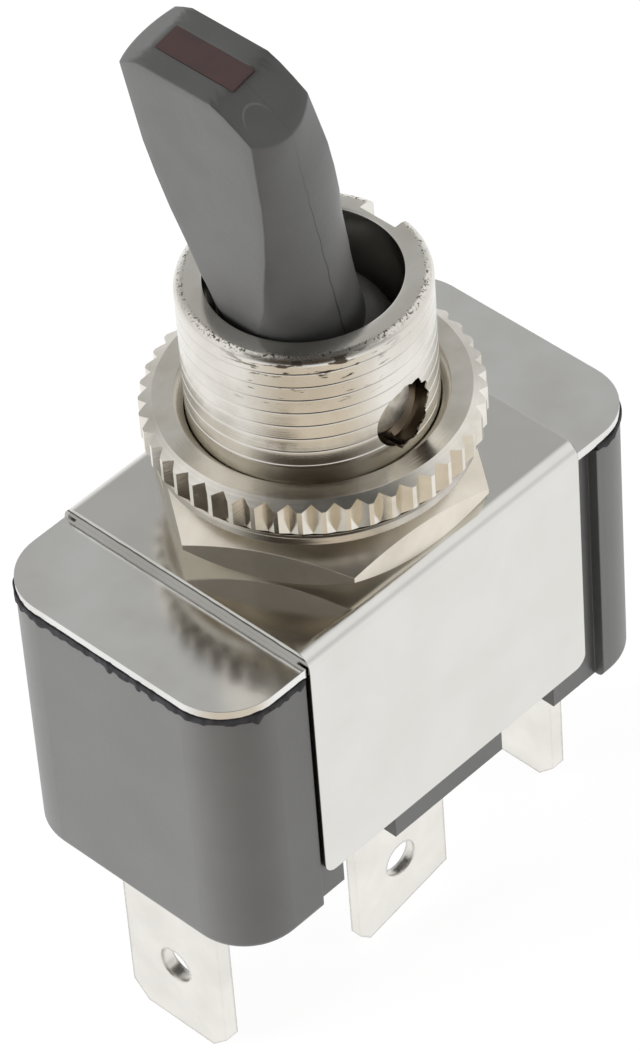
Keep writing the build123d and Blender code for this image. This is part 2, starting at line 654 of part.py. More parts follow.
# Its spring, between the plunger and the end of the bore.
spring_length = PLUNGER_TOP - SPRING_SEAT - 2 * SPRING_WIRE_R
with BuildPart() as plunger_spring:
    with BuildLine() as coil:
        Helix(
            pitch=spring_length / SPRING_TURNS,
            height=spring_length,
            radius=SPRING_R,
            center=LEVER.offset(-PLUNGER_TOP + SPRING_WIRE_R).origin,
            direction=LEVER.z_dir,
        )
    # the wire is drawn with six sides, and the two lamp leads with eight
    with BuildSketch(Plane(origin=coil.line @ 0, z_dir=coil.line % 0)):
        RegularPolygon(SPRING_WIRE_R, 6)
    sweep(is_frenet=True)

# The rocker: a strip pressed to a trough that the plunger's tip runs in, with
# level arms that carry the moving contact and rest on the stop.
with BuildPart() as rocker:
    with BuildSketch(ROCKER_SIDE):
        with BuildLine():
            Line((-ROCKER_REACH, arm_line), (-arm_start, arm_line))
            Line((-arm_start, arm_line), (-TROUGH_HALF, crest_z))
            ThreePointArc(
                (-TROUGH_HALF, crest_z), (0, trough_centre - line_r), (TROUGH_HALF, crest_z)
            )
            Line((TROUGH_HALF, crest_z), (arm_start, arm_line))
            Line((arm_start, arm_line), (ROCKER_REACH, arm_line))
        trace(line_width=ROCKER_THICK)
    extrude(amount=ROCKER_WIDTH / 2, both=True)
    with BuildSketch(rocker_level(0)):
        with Locations((-CONTACT_X, 0)):
            Circle(CONTACT_SHANK_R + RIVET_FIT)
    extrude(amount=2 * ROCKER_REACH, both=True, mode=Mode.SUBTRACT)

# Silver contact with a domed face, riveted under the rocker's -X arm.
dome_rise = sqrt(CONTACT_DOME_R**2 - CONTACT_R**2)
with BuildPart() as moving_contact:
    with BuildSketch(ROCKER_SIDE):
        with BuildLine():
            arm_top = ROCKER_ARM_UNDER + ROCKER_THICK
            tip = (-CONTACT_X, dome_centre - CONTACT_DOME_R)
            rim = (-CONTACT_X + CONTACT_R, dome_centre - dome_rise)
            Polyline(
                rim,
                (-CONTACT_X + CONTACT_R, ROCKER_ARM_UNDER),
                (-CONTACT_X + CONTACT_SHANK_R, ROCKER_ARM_UNDER),
                (-CONTACT_X + CONTACT_SHANK_R, arm_top),
                (-CONTACT_X + CONTACT_R, arm_top),
                (-CONTACT_X + CONTACT_SHANK_R, arm_top + RIVET_HEAD),
                (-CONTACT_X, arm_top + RIVET_HEAD),
                tip,
            )
            RadiusArc(tip, rim, -CONTACT_DOME_R)
        make_face()
    contact_axis = Axis(rocker_level(0).from_local_coords((-CONTACT_X, 0, 0)), rocker_level(0).z_dir)
    revolve(axis=contact_axis)

# ================================================================ terminals


def tip_corners(low_left, low_right, centre_z):
    """Rounded end cuts of a blade, as triangles to take away from its two corners."""
    half = BLADE_WIDTH / 2
    for side, (inset, rise) in ((-1, low_left), (1, low_right)):
        Polygon(
            (side * (half - inset), centre_z),
            (side * (half + 0.01), centre_z + rise),
            (side * (half + 0.01), centre_z - 0.01),
            (side * (half - inset), centre_z - 0.01),
            align=None,
        )


def end_terminal(blade_x, foot_end, rivet_x, rivet_r):
    """A blade across the body with its foot bent inwards along the cavity floor."""
    outward = -1 if blade_x < 0 else 1
    outer = blade_x + outward * END_BLADE_THICK / 2
    inner = blade_x - outward * END_BLADE_THICK / 2
    with BuildPart() as terminal:
        with BuildSketch(Plane.XZ):
            Polygon(
                (outer, BLADE_TIP),
                (inner, BLADE_TIP),
                (inner, CAVITY_FLOOR),
                (foot_end, CAVITY_FLOOR),
                (foot_end, END_FOOT_TOP),
                (outer, END_FOOT_TOP),
                align=None,
            )
        extrude(amount=BLADE_WIDTH / 2, both=True)
        outer_bend = terminal.edges().filter_by(Axis.Y).filter_by(
            lambda e: abs(e.center().X - outer) < 0.01 and abs(e.center().Z - END_FOOT_TOP) < 0.01
        )
        fillet(outer_bend, END_BLADE_THICK * 0.8)
        with BuildSketch(Plane.YZ.offset(blade_x)):
            tip_corners((BLADE_CHAMFER, BLADE_CHAMFER), (BLADE_CHAMFER, BLADE_CHAMFER), BLADE_TIP)
            with Locations((0, BLADE_HOLE_Z)):
                Circle(BLADE_HOLE_R)
        extrude(amount=END_BLADE_THICK, both=True, mode=Mode.SUBTRACT)
        with BuildSketch(Plane.XY.offset(CAVITY_FLOOR)):
            with Locations((rivet_x, 0)):
                Circle(rivet_r + RIVET_FIT)
        extrude(amount=END_BLADE_THICK, mode=Mode.SUBTRACT)
    return terminal


load_terminal = end_terminal(LOAD_BLADE_X, LOAD_FOOT_END, -CONTACT_X, RIVET_R)
earth_terminal = end_terminal(EARTH_BLADE_X, EARTH_FOOT_END, EARTH_RIVET_X, EARTH_RIVET_R)

# The middle blade stands along the body, with its foot under the rocker.
with BuildPart() as supply_terminal:
    front = MIDDLE_BLADE_Y - MIDDLE_BLADE_THICK / 2
    back = MIDDLE_BLADE_Y + MIDDLE_BLADE_THICK / 2
    with BuildSketch(Plane.YZ.offset(MIDDLE_BLADE_X)):
        Polygon(
            (front, MIDDLE_TIP),
            (back, MIDDLE_TIP),
            (back, CAVITY_FLOOR),
            (MIDDLE_FOOT_END, CAVITY_FLOOR),
            (MIDDLE_FOOT_END, MIDDLE_FOOT_TOP),
            (front, MIDDLE_FOOT_TOP),
            align=None,
        )
    extrude(amount=BLADE_WIDTH / 2, both=True)
    outer_bend = supply_terminal.edges().filter_by(Axis.X).filter_by(
        lambda e: abs(e.center().Y - front) < 0.01 and abs(e.center().Z - MIDDLE_FOOT_TOP) < 0.01
    )
    fillet(outer_bend, MIDDLE_BLADE_THICK * 0.8)
    with BuildSketch(Plane(origin=(MIDDLE_BLADE_X, MIDDLE_BLADE_Y, 0), x_dir=(1, 0, 0), z_dir=(0, -1, 0))):
        tip_corners(
            (MIDDLE_CORNER, MIDDLE_CORNER), (BLADE_WIDTH - MIDDLE_CORNER, MIDDLE_BEVEL_RISE), MIDDLE_TIP
        )
        with Locations((0, BLADE_HOLE_Z)):
            Circle(BLADE_HOLE_R)
    extrude(amount=MIDDLE_BLADE_THICK, both=True, mode=Mode.SUBTRACT)
    with BuildSketch(Plane.XY.offset(CAVITY_FLOOR)):
        with Locations((-FULCRUM_RIVET_X, 0), (FULCRUM_RIVET_X, 0)):
            Circle(FULCRUM_RIVET_R + RIVET_FIT)
    extrude(amount=MIDDLE_BLADE_THICK, mode=Mode.SUBTRACT)

# Ridge that the rocker tips on, riveted through the middle terminal's foot.
with BuildPart() as fulcrum:
    with BuildSketch(Plane.XZ):
        with Locations((0, MIDDLE_FOOT_TOP + FULCRUM_BASE / 2)):
            Rectangle(2 * FULCRUM_HALF[0], FULCRUM_BASE)
        ridge_height = FULCRUM_Z - MIDDLE_FOOT_TOP
        with Locations((0, MIDDLE_FOOT_TOP + ridge_height / 2)):
            Rectangle(2 * FULCRUM_R, ridge_height)
        with Locations((0, FULCRUM_Z)):
            Circle(FULCRUM_R)
    extrude(amount=FULCRUM_HALF[1], both=True)
    with BuildSketch(Plane.XY.offset(MIDDLE_FOOT_TOP)):
        with Locations((-FULCRUM_RIVET_X, 0), (FULCRUM_RIVET_X, 0)):
            Circle(FULCRUM_RIVET_R + RIVET_FIT)
    extrude(amount=FULCRUM_BASE, mode=Mode.SUBTRACT)


def rivets(places, shank_r, head_r, seat, head_height):
    """Rivets standing in their blind holes along X: a shank up to the seat, then a head."""
    with BuildPart() as pins:
        with BuildSketch(Plane.XY.offset(RIVET_FOOT)):
            with Locations([(place, 0) for place in places]):
                Circle(shank_r)
        extrude(amount=seat - RIVET_FOOT)
        with BuildSketch(Plane.XY.offset(seat)):
            with Locations([(place, 0) for place in places]):
                Circle(head_r)
        extrude(amount=head_height, taper=20)
    return pins


# The fixed contact, in silver, with its shank through the load terminal's foot; the
# two rivets of the fulcrum; and the one of the earth terminal.
fixed_contact = rivets(
    [-CONTACT_X], RIVET_R, FIXED_CONTACT_R, END_FOOT_TOP, FIXED_CONTACT_HEIGHT
)
fulcrum_rivets = rivets(
    [-FULCRUM_RIVET_X, FULCRUM_RIVET_X],
    FULCRUM_RIVET_R,
    FULCRUM_RIVET_R + 0.28,
    MIDDLE_FOOT_TOP + FULCRUM_BASE,
    RIVET_HEAD,
)
earth_rivet = rivets([EARTH_RIVET_X], EARTH_RIVET_R, EARTH_RIVET_R + 0.4, END_FOOT_TOP, RIVET_HEAD)

# ================================================================ output

pieces = {
    "housing": housing,
    "gasket": gasket,
    "cover_plate": cover_plate,
    "strap": strap,
    "bushing": bushing,
    "pivot_pin_front": pivot_pin_front,
    "pivot_pin_rear": pivot_pin_rear,
    "hex_nut": hex_nut,
    "flat_washer": flat_washer,
    "lock_washer": lock_washer,
    "knurled_nut": knurled_nut,
    "lever": lever,
    "lens": lens,
    "led": led,
    "resistor": resistor,
    "load_lead": load_lead,
    "earth_lead": earth_lead,
    "plunger": plunger,
    "plunger_spring": plunger_spring,
    "rocker": rocker,
    "moving_contact": moving_contact,
    "fixed_contact": fixed_contact,
    "fulcrum": fulcrum,
    "fulcrum_rivets": fulcrum_rivets,
    "earth_rivet": earth_rivet,
    "load_terminal": load_terminal,
    "supply_terminal": supply_terminal,
    "earth_terminal": earth_terminal,
}
os.makedirs("parts", exist_ok=True)
for name, piece in pieces.items():
    piece.part.label = name
    export_step(piece.part, f"parts/{name}.step")
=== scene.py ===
# Looks of the illuminated toggle switch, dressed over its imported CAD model.
# Metres; the builders below take millimetres and turn them to metres once.

from math import atan2, copysign, cos, degrees, hypot, pi, radians, sin

import bmesh
import bpy
from mathutils import Euler, Matrix, Vector, noise


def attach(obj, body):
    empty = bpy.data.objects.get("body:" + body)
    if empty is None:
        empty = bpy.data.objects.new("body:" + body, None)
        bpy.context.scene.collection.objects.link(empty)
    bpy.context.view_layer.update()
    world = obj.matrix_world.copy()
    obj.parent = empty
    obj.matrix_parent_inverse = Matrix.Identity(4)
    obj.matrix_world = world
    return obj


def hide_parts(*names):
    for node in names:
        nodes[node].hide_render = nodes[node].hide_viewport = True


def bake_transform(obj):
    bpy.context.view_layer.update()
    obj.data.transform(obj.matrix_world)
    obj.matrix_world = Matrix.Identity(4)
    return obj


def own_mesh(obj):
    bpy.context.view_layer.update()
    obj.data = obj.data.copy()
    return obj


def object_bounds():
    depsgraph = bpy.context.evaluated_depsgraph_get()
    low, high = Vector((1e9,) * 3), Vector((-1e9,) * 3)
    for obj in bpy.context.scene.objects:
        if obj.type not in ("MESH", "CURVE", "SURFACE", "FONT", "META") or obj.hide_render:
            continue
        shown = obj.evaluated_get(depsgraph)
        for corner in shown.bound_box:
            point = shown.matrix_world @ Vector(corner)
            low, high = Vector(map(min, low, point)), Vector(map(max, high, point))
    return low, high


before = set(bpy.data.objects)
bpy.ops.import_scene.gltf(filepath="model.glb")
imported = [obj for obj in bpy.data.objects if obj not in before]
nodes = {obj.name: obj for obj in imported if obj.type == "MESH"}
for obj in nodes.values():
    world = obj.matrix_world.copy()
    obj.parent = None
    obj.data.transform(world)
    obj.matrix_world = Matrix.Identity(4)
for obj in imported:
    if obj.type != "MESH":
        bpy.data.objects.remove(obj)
cad_low, cad_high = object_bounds()
MM = 0.001

# ---------------------------------------------------------------- sizes, millimetres
# They repeat the part's own sizes where a dressed piece stands for a CAD node.
THREAD_R = 5.95
BORE_R = 4.6
PITCH = 0.794
BUSHING_TOP = 12.8
BUSHING_FOOT = -1.75
SPIGOT_R = 5.15
FLARE_R = 5.7
PLATE_UNDER = -1.15
RIM_CHAMFER = 0.4
KEYWAY_FLOOR = 4.95
KEYWAY_WIDTH = 2.2
PIVOT_Z = 7.5
PIVOT_BORE_R = 1.6
LEAN = radians(13.0)
LEVER_TIP = 21.6
KNURL_FOOT = 4.314
KNURL_TOP = 5.684
KNURL_R = 8.1
KNURL_FACE_R = 7.47
KNURL_TEETH = 46
KNURL_BEVEL = 0.24
KNURL_SKIRT = 4.08
NUT_BORE_R = 5.99
NUT_MOUTH_R = 6.42
STRAP_MIDDLE = 0.12
STRAP_HALF = 9.2


def srgb(code):
    """A hex colour as linear red, green, blue and alpha."""
    parts = [int(code[i : i + 2], 16) / 255 for i in (0, 2, 4)]
    linear = [c / 12.92 if c <= 0.04045 else ((c + 0.055) / 1.055) ** 2.4 for c in parts]
    return (*linear, 1.0)


def add(tree, kind, inputs=None, **settings):
    """Adds a node: settings are its properties, inputs its values or the sockets that feed it."""
    node = tree.nodes.new(kind)
    for key, value in settings.items():
        setattr(node, key, value)
    for key, value in (inputs or {}).items():
        if isinstance(value, bpy.types.NodeSocket):
            tree.links.new(value, node.inputs[key])
        else:
            node.inputs[key].default_value = value
    return node


def new_finish(name, colour, roughness, **sockets):
    """A material with its constant values set on its shader; returns it, its tree and shader."""
    made = bpy.data.materials.new(name)
    made.use_nodes = True
    shader = made.node_tree.nodes["Principled BSDF"]
    shader.inputs["Base Color"].default_value = srgb(colour)
    shader.inputs["Roughness"].default_value = roughness
    for key, value in sockets.items():
        shader.inputs[key.replace("_", " ")].default_value = value
    return made, made.node_tree, shader


def mottle(tree, shader, dark, light, size, spread=(0.35, 0.65), detail=4.0):
    """Colour that drifts between two tones in patches of about that size in millimetres."""
    place = add(tree, "ShaderNodeTexCoord").outputs["Object"]
    cloud = add(tree, "ShaderNodeTexNoise", {"Vector": place, "Scale": 1 / (size * MM), "Detail": detail})
    share = add(
        tree,
        "ShaderNodeMapRange",
        {"Value": cloud.outputs["Fac"], "From Min": spread[0], "From Max": spread[1]},
    )
    tone = add(
        tree,
        "ShaderNodeMix",
        {0: share.outputs[0], 6: srgb(dark), 7: srgb(light)},
        data_type="RGBA",
    )
    tree.links.new(tone.outputs[2], shader.inputs["Base Color"])
    return place, tone.outputs[2]


def rough_patches(tree, shader, place, size, low, high):
    """Roughness that drifts between two values, as a handled or plated surface has."""
    cloud = add(tree, "ShaderNodeTexNoise", {"Vector": place, "Scale": 1 / (size * MM), "Detail": 5.0})
    value = add(
        tree,
        "ShaderNodeMapRange",
        {"Value": cloud.outputs["Fac"], "From Min": 0.3, "From Max": 0.7, "To Min": low, "To Max": high},
    )
    tree.links.new(value.outputs[0], shader.inputs["Roughness"])


def raise_surface(tree, shader, pattern, height, edge=0.0):
    """Raises the surface by a pattern, over edges rounded by that radius; millimetres."""
    bump = add(
        tree, "ShaderNodeBump", {"Height": pattern, "Distance": height * MM, "Strength": 1.0}
    )
    if edge:
        rounded = add(tree, "ShaderNodeBevel", {"Radius": edge * MM}, samples=6)
        tree.links.new(rounded.outputs[0], bump.inputs["Normal"])
    tree.links.new(bump.outputs[0], shader.inputs["Normal"])


def relief(tree, shader, place, size, height, edge=0.0):
    """Fine bumps of a size and height in millimetres."""
    grain = add(tree, "ShaderNodeTexNoise", {"Vector": place, "Scale": 1 / (size * MM), "Detail": 6.0})
    raise_surface(tree, shader, grain.outputs["Fac"], height, edge)


def turned_rings(tree, shader, place, pitch, height, edge=0.0):
    """Fine rings that a lathe leaves round the Z axis, irregular from one to the next."""
    apart = add(tree, "ShaderNodeSeparateXYZ", {0: place})
    flat = add(tree, "ShaderNodeCombineXYZ", {0: apart.outputs[0], 1: apart.outputs[1]})
    radius = add(tree, "ShaderNodeVectorMath", {0: flat.outputs[0]}, operation="LENGTH")
    along = add(
        tree, "ShaderNodeMath", {0: radius.outputs["Value"], 1: apart.outputs[2]}, operation="ADD"
    )
    drift = add(tree, "ShaderNodeTexNoise", {"Vector": place, "Scale": 250.0, "Detail": 2.0})
    wander = add(
        tree,
        "ShaderNodeMath",
        {0: drift.outputs["Fac"], 1: 0.00012, 2: along.outputs[0]},
        operation="MULTIPLY_ADD",
    )
    rings = add(
        tree,
        "ShaderNodeTexNoise",
        {"W": wander.outputs[0], "Scale": 1 / (pitch * MM), "Detail": 3.0, "Roughness": 0.7},
        noise_dimensions="1D",
    )
    raise_surface(tree, shader, rings.outputs["Fac"], height, edge)
    return apart, radius.outputs["Value"]


# ================================================================ finishes

# Bright nickel over machined brass: a warm silver, smooth on the lands of the thread,
# bruised at the rim and rubbed through to dark marks where nuts have dragged.
thread_nickel, tree, shader = new_finish("nickel_plated_thread", "DDD4C6", 0.2, Metallic=1.0)
place, tone = mottle(tree, shader, "D7D3CB", "E5E2DB", 2.4)
apart, radius = turned_rings(tree, shader, place, 0.11, 0.0025)
height = apart.outputs[2]
turn = add(tree, "ShaderNodeMath", {0: apart.outputs[1], 1: apart.outputs[0]}, operation="ARCTAN2")
# gashes lie along the thread: stretched 8 to 1 round the bushing
gash_place = add(tree, "ShaderNodeCombineXYZ", {0: turn.outputs[0], 1: height})
gash_scaled = add(
    tree, "ShaderNodeVectorMath", {0: gash_place.outputs[0], 1: (6.0, 4200.0, 1.0)}, operation="MULTIPLY"
)
gashes = add(tree, "ShaderNodeTexNoise", {"Vector": gash_scaled.outputs[0], "Scale": 1.0, "Detail": 5.0})
# the last band under the rim is the most smudged
smudged = {"Value": height, "From Min": 0.0117, "From Max": 0.0123, "To Max": 0.1}
smudge = add(tree, "ShaderNodeMapRange", smudged).outputs[0]
gashed = add(tree, "ShaderNodeMath", {0: gashes.outputs["Fac"], 1: smudge}, operation="ADD").outputs[0]
gash_cut = add(tree, "ShaderNodeMapRange", {"Value": gashed, "From Min": 0.62, "From Max": 0.68})
near_rim = add(
    tree, "ShaderNodeMapRange", {"Value": height, "From Min": 0.0094, "From Max": 0.0112}
)
front = add(
    tree,
    "ShaderNodeVectorMath",
    {0: place, 1: (-0.69 / 0.006, -0.72 / 0.006, 0.0)},
    operation="DOT_PRODUCT",
)
facing = add(
    tree, "ShaderNodeMapRange", {"Value": front.outputs["Value"], "From Min": 0.7, "From Max": 0.93}
)
gash_where = add(
    tree, "ShaderNodeMath", {0: near_rim.outputs[0], 1: facing.outputs[0]}, operation="MULTIPLY"
)
on_side = add(tree, "ShaderNodeMapRange", {"Value": radius, "From Min": 0.0056, "From Max": 0.0058})
side_gash = add(
    tree, "ShaderNodeMath", {0: on_side.outputs[0], 1: gash_cut.outputs[0]}, operation="MULTIPLY"
)
gash_mask = add(
    tree, "ShaderNodeMath", {0: gash_where.outputs[0], 1: side_gash.outputs[0]}, operation="MULTIPLY"
)
# pits along the rim's chamfer, and dirt in them
pits = add(tree, "ShaderNodeTexNoise", {"Vector": place, "Scale": 7500.0, "Detail": 2.0})
pit_cut = add(
    tree, "ShaderNodeMapRange", {"Value": pits.outputs["Fac"], "From Min": 0.52, "From Max": 0.66}
)
at_rim = add(
    tree, "ShaderNodeMapRange", {"Value": height, "From Min": 0.01262, "From Max": 0.01274}
)
off_top = add(
    tree, "ShaderNodeMapRange", {"Value": radius, "From Min": 0.00546, "From Max": 0.00552}
)
rim_where = add(
    tree, "ShaderNodeMath", {0: at_rim.outputs[0], 1: off_top.outputs[0]}, operation="MULTIPLY"
)
pit_mask = add(
    tree, "ShaderNodeMath", {0: rim_where.outputs[0], 1: pit_cut.outputs[0]}, operation="MULTIPLY"
)
dirt = add(tree, "ShaderNodeMath", {0: gash_mask.outputs[0], 1: pit_mask.outputs[0]}, operation="MAXIMUM")
dirty = add(
    tree,
    "ShaderNodeMix",
    {0: dirt.outputs[0], 6: tone, 7: srgb("5E564C")},
    data_type="RGBA",
)
# the wall of the cross hole is painted brown: painted shade inside the hole
from_pivot = add(tree, "ShaderNodeVectorMath", {0: place, 1: (0.0, 0.0, -PIVOT_Z * MM)})
across_hole = add(
    tree, "ShaderNodeVectorMath", {0: from_pivot.outputs[0], 1: (1.0, 0.0, 1.0)}, operation="MULTIPLY"
)
hole_radius = add(tree, "ShaderNodeVectorMath", {0: across_hole.outputs[0]}, operation="LENGTH")
in_hole = add(
    tree,
    "ShaderNodeMapRange",
    {"Value": hole_radius.outputs["Value"], "From Min": 0.0022, "From Max": 0.0021},
)
outer = add(tree, "ShaderNodeMapRange", {"Value": radius, "From Min": 0.0047, "From Max": 0.0048})
skin = add(tree, "ShaderNodeMapRange", {"Value": radius, "From Min": 0.00589, "From Max": 0.00585})
wall = add(tree, "ShaderNodeMath", {0: in_hole.outputs[0], 1: outer.outputs[0]}, operation="MULTIPLY")
painted_hole_shade = add(tree, "ShaderNodeMath", {0: wall.outputs[0], 1: skin.outputs[0]}, operation="MULTIPLY")
brown = add(
    tree,
    "ShaderNodeMix",
    {0: painted_hole_shade.outputs[0], 6: dirty.outputs[2], 7: srgb("6E6254")},
    data_type="RGBA",
)
tree.links.new(brown.outputs[2], shader.inputs["Base Color"])
worn = add(
    tree,
    "ShaderNodeMapRange",
    {"Value": dirt.outputs[0], "To Min": 0.2, "To Max": 0.5},
)
tree.links.new(worn.outputs[0], shader.inputs["Roughness"])

# Bright nickel on turned nuts: the same plating, with the lathe's rings on every face.
nut_nickel, tree, shader = new_finish("nickel_plated_nut", "D9D0C2", 0.16, Metallic=1.0)
place, _ = mottle(tree, shader, "DAD5CA", "EAE6DE", 2.2)
turned_rings(tree, shader, place, 0.16, 0.004)
rough_patches(tree, shader, place, 1.2, 0.16, 0.26)

# Dull nickel on the hexagon nut: milled upright on its flats, turned on its cone; the finish draws only
# upright strokes, on every face.
hex_nickel, tree, shader = new_finish("nickel_plated_hexagon", "CFC6B7", 0.3, Metallic=1.0)
place, _ = mottle(tree, shader, "D6CFC1", "E4DDD0", 2.0)
upright = add(
    tree, "ShaderNodeVectorMath", {0: place, 1: (9000.0, 9000.0, 500.0)}, operation="MULTIPLY"
)
strokes = add(tree, "ShaderNodeTexNoise", {"Vector": upright.outputs[0], "Scale": 1.0, "Detail": 3.0})
raise_surface(tree, shader, strokes.outputs["Fac"], 0.003, edge=0.05)

# Nickel on a stamped washer.
washer_nickel, tree, shader = new_finish("nickel_plated_washer", "D6CFC3", 0.2, Metallic=1.0)
place, _ = mottle(tree, shader, "B5AFA5", "D0CBC2", 2.0)
turned_rings(tree, shader, place, 0.12, 0.006, edge=0.06)

# Zinc with a yellow chromate film on spring steel.
yellow_zinc, tree, shader = new_finish("yellow_chromate_zinc", "8A7A38", 0.42, Metallic=1.0)
place, _ = mottle(tree, shader, "665A28", "958644", 0.9)
relief(tree, shader, place, 0.3, 0.01, edge=0.04)


def rolled_sheet(name, dark, light, smoothest, roughest):
    """Bright-rolled plated steel: nearly a mirror, with rubbing marks and faint stains."""
    made, tree, shader = new_finish(name, "E4E4E2", 0.14, Metallic=1.0)
    place, tone = mottle(tree, shader, dark, light, 3.5)
    rough_patches(tree, shader, place, 2.5, smoothest, roughest)
    relief(tree, shader, place, 0.9, 0.0025, edge=0.05)
    return made, tree, shader, place, tone


# The cover plate's sheet.
sheet_steel = rolled_sheet("bright_plated_sheet", "E0DFDC", "E9E9E7", 0.12, 0.19)[0]

# The same sheet on the strap, whose sheared ends show a dark line under the burnished lip.
sheared_sheet, tree, shader, place, tone = rolled_sheet(
    "sheared_plated_sheet", "D9D8D3", "DDDCD8", 0.13, 0.17
)
x_and_z = add(tree, "ShaderNodeSeparateXYZ", {0: place}).outputs
off_middle = {0: x_and_z[0], 1: -STRAP_MIDDLE * MM}
from_middle = add(tree, "ShaderNodeMath", off_middle, operation="ADD").outputs[0]
out_by = add(tree, "ShaderNodeMath", {0: from_middle}, operation="ABSOLUTE").outputs[0]
at_shear = {0: out_by, 1: (STRAP_HALF - 0.02) * MM}
on_shear = add(tree, "ShaderNodeMath", at_shear, operation="GREATER_THAN").outputs[0]
waves = {"Vector": place, "Scale": 1500.0, "Detail": 3.0}
tear_wave = add(tree, "ShaderNodeTexNoise", waves).outputs["Fac"]
wavy = add(
    tree, "ShaderNodeMath", {0: tear_wave, 1: 0.00012, 2: x_and_z[2]}, operation="MULTIPLY_ADD"
).outputs[0]
below_lip = add(tree, "ShaderNodeMath", {0: wavy, 1: 0.00017}, operation="ADD").outputs[0]
from_lip = add(tree, "ShaderNodeMath", {0: below_lip}, operation="ABSOLUTE").outputs[0]
crack_width = {"Value": from_lip, "From Min": 0.00009, "From Max": 0.00004}
crack = add(tree, "ShaderNodeMapRange", crack_width).outputs[0]
torn = {"Value": below_lip, "From Min": 0.0, "From Max": -0.00005, "To Max": 0.45}
fracture = add(tree, "ShaderNodeMapRange", torn).outputs[0]
marks = add(tree, "ShaderNodeMath", {0: crack, 1: fracture}, operation="MAXIMUM").outputs[0]
shear = add(tree, "ShaderNodeMath", {0: marks, 1: on_shear}, operation="MULTIPLY").outputs[0]
sheared = add(
    tree, "ShaderNodeMix", {0: shear, 6: tone, 7: srgb("4F4C47")}, data_type="RGBA"
)
tree.links.new(sheared.outputs[2], shader.inputs["Base Color"])

# Moulded phenolic: dark grey and even, with a satin skin, faintly grained.
phenolic, tree, shader = new_finish("moulded_phenolic", "565655", 0.4, IOR=1.6)
place, _ = mottle(tree, shader, "545453", "585857", 5.0)
relief(tree, shader, place, 0.3, 0.006, edge=0.1)

# Vulcanised fibre, black and fibrous at its torn edge.
black_fibre, tree, shader = new_finish("vulcanised_fibre", "242325", 0.75)
place, _ = mottle(tree, shader, "19181A", "302F32", 0.5)
relief(tree, shader, place, 0.15, 0.03)

# Moulded nylon, black with a satin sheen and the faint cloudiness of its mould.
black_nylon, tree, shader = new_finish("moulded_black_nylon", "454544", 0.4, IOR=1.53)
place, tone = mottle(tree, shader, "464645", "4A4A49", 2.0)
relief(tree, shader, place, 0.3, 0.008)
# the mould's parting line down both narrow sides, ragged and dark, and the faint ring
# that an ejector pin left on the end face; both lie in the lever's own leaning frame
from_pivot = add(tree, "ShaderNodeVectorMath", {0: place, 1: (0.0, 0.0, -PIVOT_Z * MM)}).outputs[0]
leaning = {0: from_pivot, 1: (cos(LEAN), 0.0, sin(LEAN))}
own_x = add(tree, "ShaderNodeVectorMath", leaning, operation="DOT_PRODUCT").outputs["Value"]
upward = {0: from_pivot, 1: (-sin(LEAN), 0.0, cos(LEAN))}
own_z = add(tree, "ShaderNodeVectorMath", upward, operation="DOT_PRODUCT").outputs["Value"]
own_y = add(tree, "ShaderNodeSeparateXYZ", {0: place}).outputs[1]
ragged = add(tree, "ShaderNodeTexNoise", {"Vector": place, "Scale": 900.0, "Detail": 5.0}).outputs["Fac"]
wander = {0: ragged, 1: 0.00022, 2: own_x}
line_x = add(tree, "ShaderNodeMath", wander, operation="MULTIPLY_ADD").outputs[0]
off_line = add(tree, "ShaderNodeMath", {0: line_x, 1: 0.00015}, operation="SUBTRACT").outputs[0]
apart_by = add(tree, "ShaderNodeMath", {0: off_line}, operation="ABSOLUTE").outputs[0]
line_width = {"Value": apart_by, "From Min": 0.00005, "From Max": 0.00002}
line = add(tree, "ShaderNodeMapRange", line_width).outputs[0]
lower = {"Value": own_z, "From Min": 0.0195, "From Max": 0.012, "To Min": 0.12, "To Max": 0.95}
deep = add(tree, "ShaderNodeMapRange", lower).outputs[0]
seam = add(tree, "ShaderNodeMath", {0: line, 1: deep}, operation="MULTIPLY").outputs[0]
shaded = add(
    tree, "ShaderNodeMix", {0: seam, 6: tone, 7: srgb("1E1D1C")}, data_type="RGBA"
).outputs[2]
pin_y = add(tree, "ShaderNodeMath", {0: own_y, 1: 0.0037}, operation="ADD").outputs[0]
pin_x = add(tree, "ShaderNodeMath", {0: own_x, 1: 0.00072}, operation="ADD").outputs[0]
pin_spot = add(tree, "ShaderNodeCombineXYZ", {0: pin_x, 1: pin_y}).outputs[0]
pin_r = add(tree, "ShaderNodeVectorMath", {0: pin_spot}, operation="LENGTH").outputs["Value"]
off_ring = add(tree, "ShaderNodeMath", {0: pin_r, 1: 0.0007}, operation="SUBTRACT").outputs[0]
near_ring = add(tree, "ShaderNodeMath", {0: off_ring}, operation="ABSOLUTE").outputs[0]
ring_width = {"Value": near_ring, "From Min": 0.00006, "From Max": 0.00002}
thin = add(tree, "ShaderNodeMapRange", ring_width).outputs[0]
at_end = add(tree, "ShaderNodeMath", {0: own_z, 1: 0.0195}, operation="GREATER_THAN").outputs[0]
far_side = {"Value": pin_y, "From Min": 0.0001, "From Max": 0.0005}
far_arc = add(tree, "ShaderNodeMapRange", far_side).outputs[0]
arc = add(tree, "ShaderNodeMath", {0: thin, 1: at_end}, operation="MULTIPLY").outputs[0]
faint = add(tree, "ShaderNodeMath", {0: arc, 1: far_arc}, operation="MULTIPLY").outputs[0]
ringed = add(tree, "ShaderNodeMix", {0: faint, 6: shaded, 7: srgb("5A5A58")}, data_type="RGBA").outputs[2]
tree.links.new(ringed, shader.inputs["Base Color"])

# Moulded acrylic, tinted so dark that only a dull red is left.
red_acrylic, tree, shader = new_finish("tinted_red_acrylic", "3C2422", 0.3, IOR=1.49)
mottle(tree, shader, "382C2B", "422F2D", 1.6)

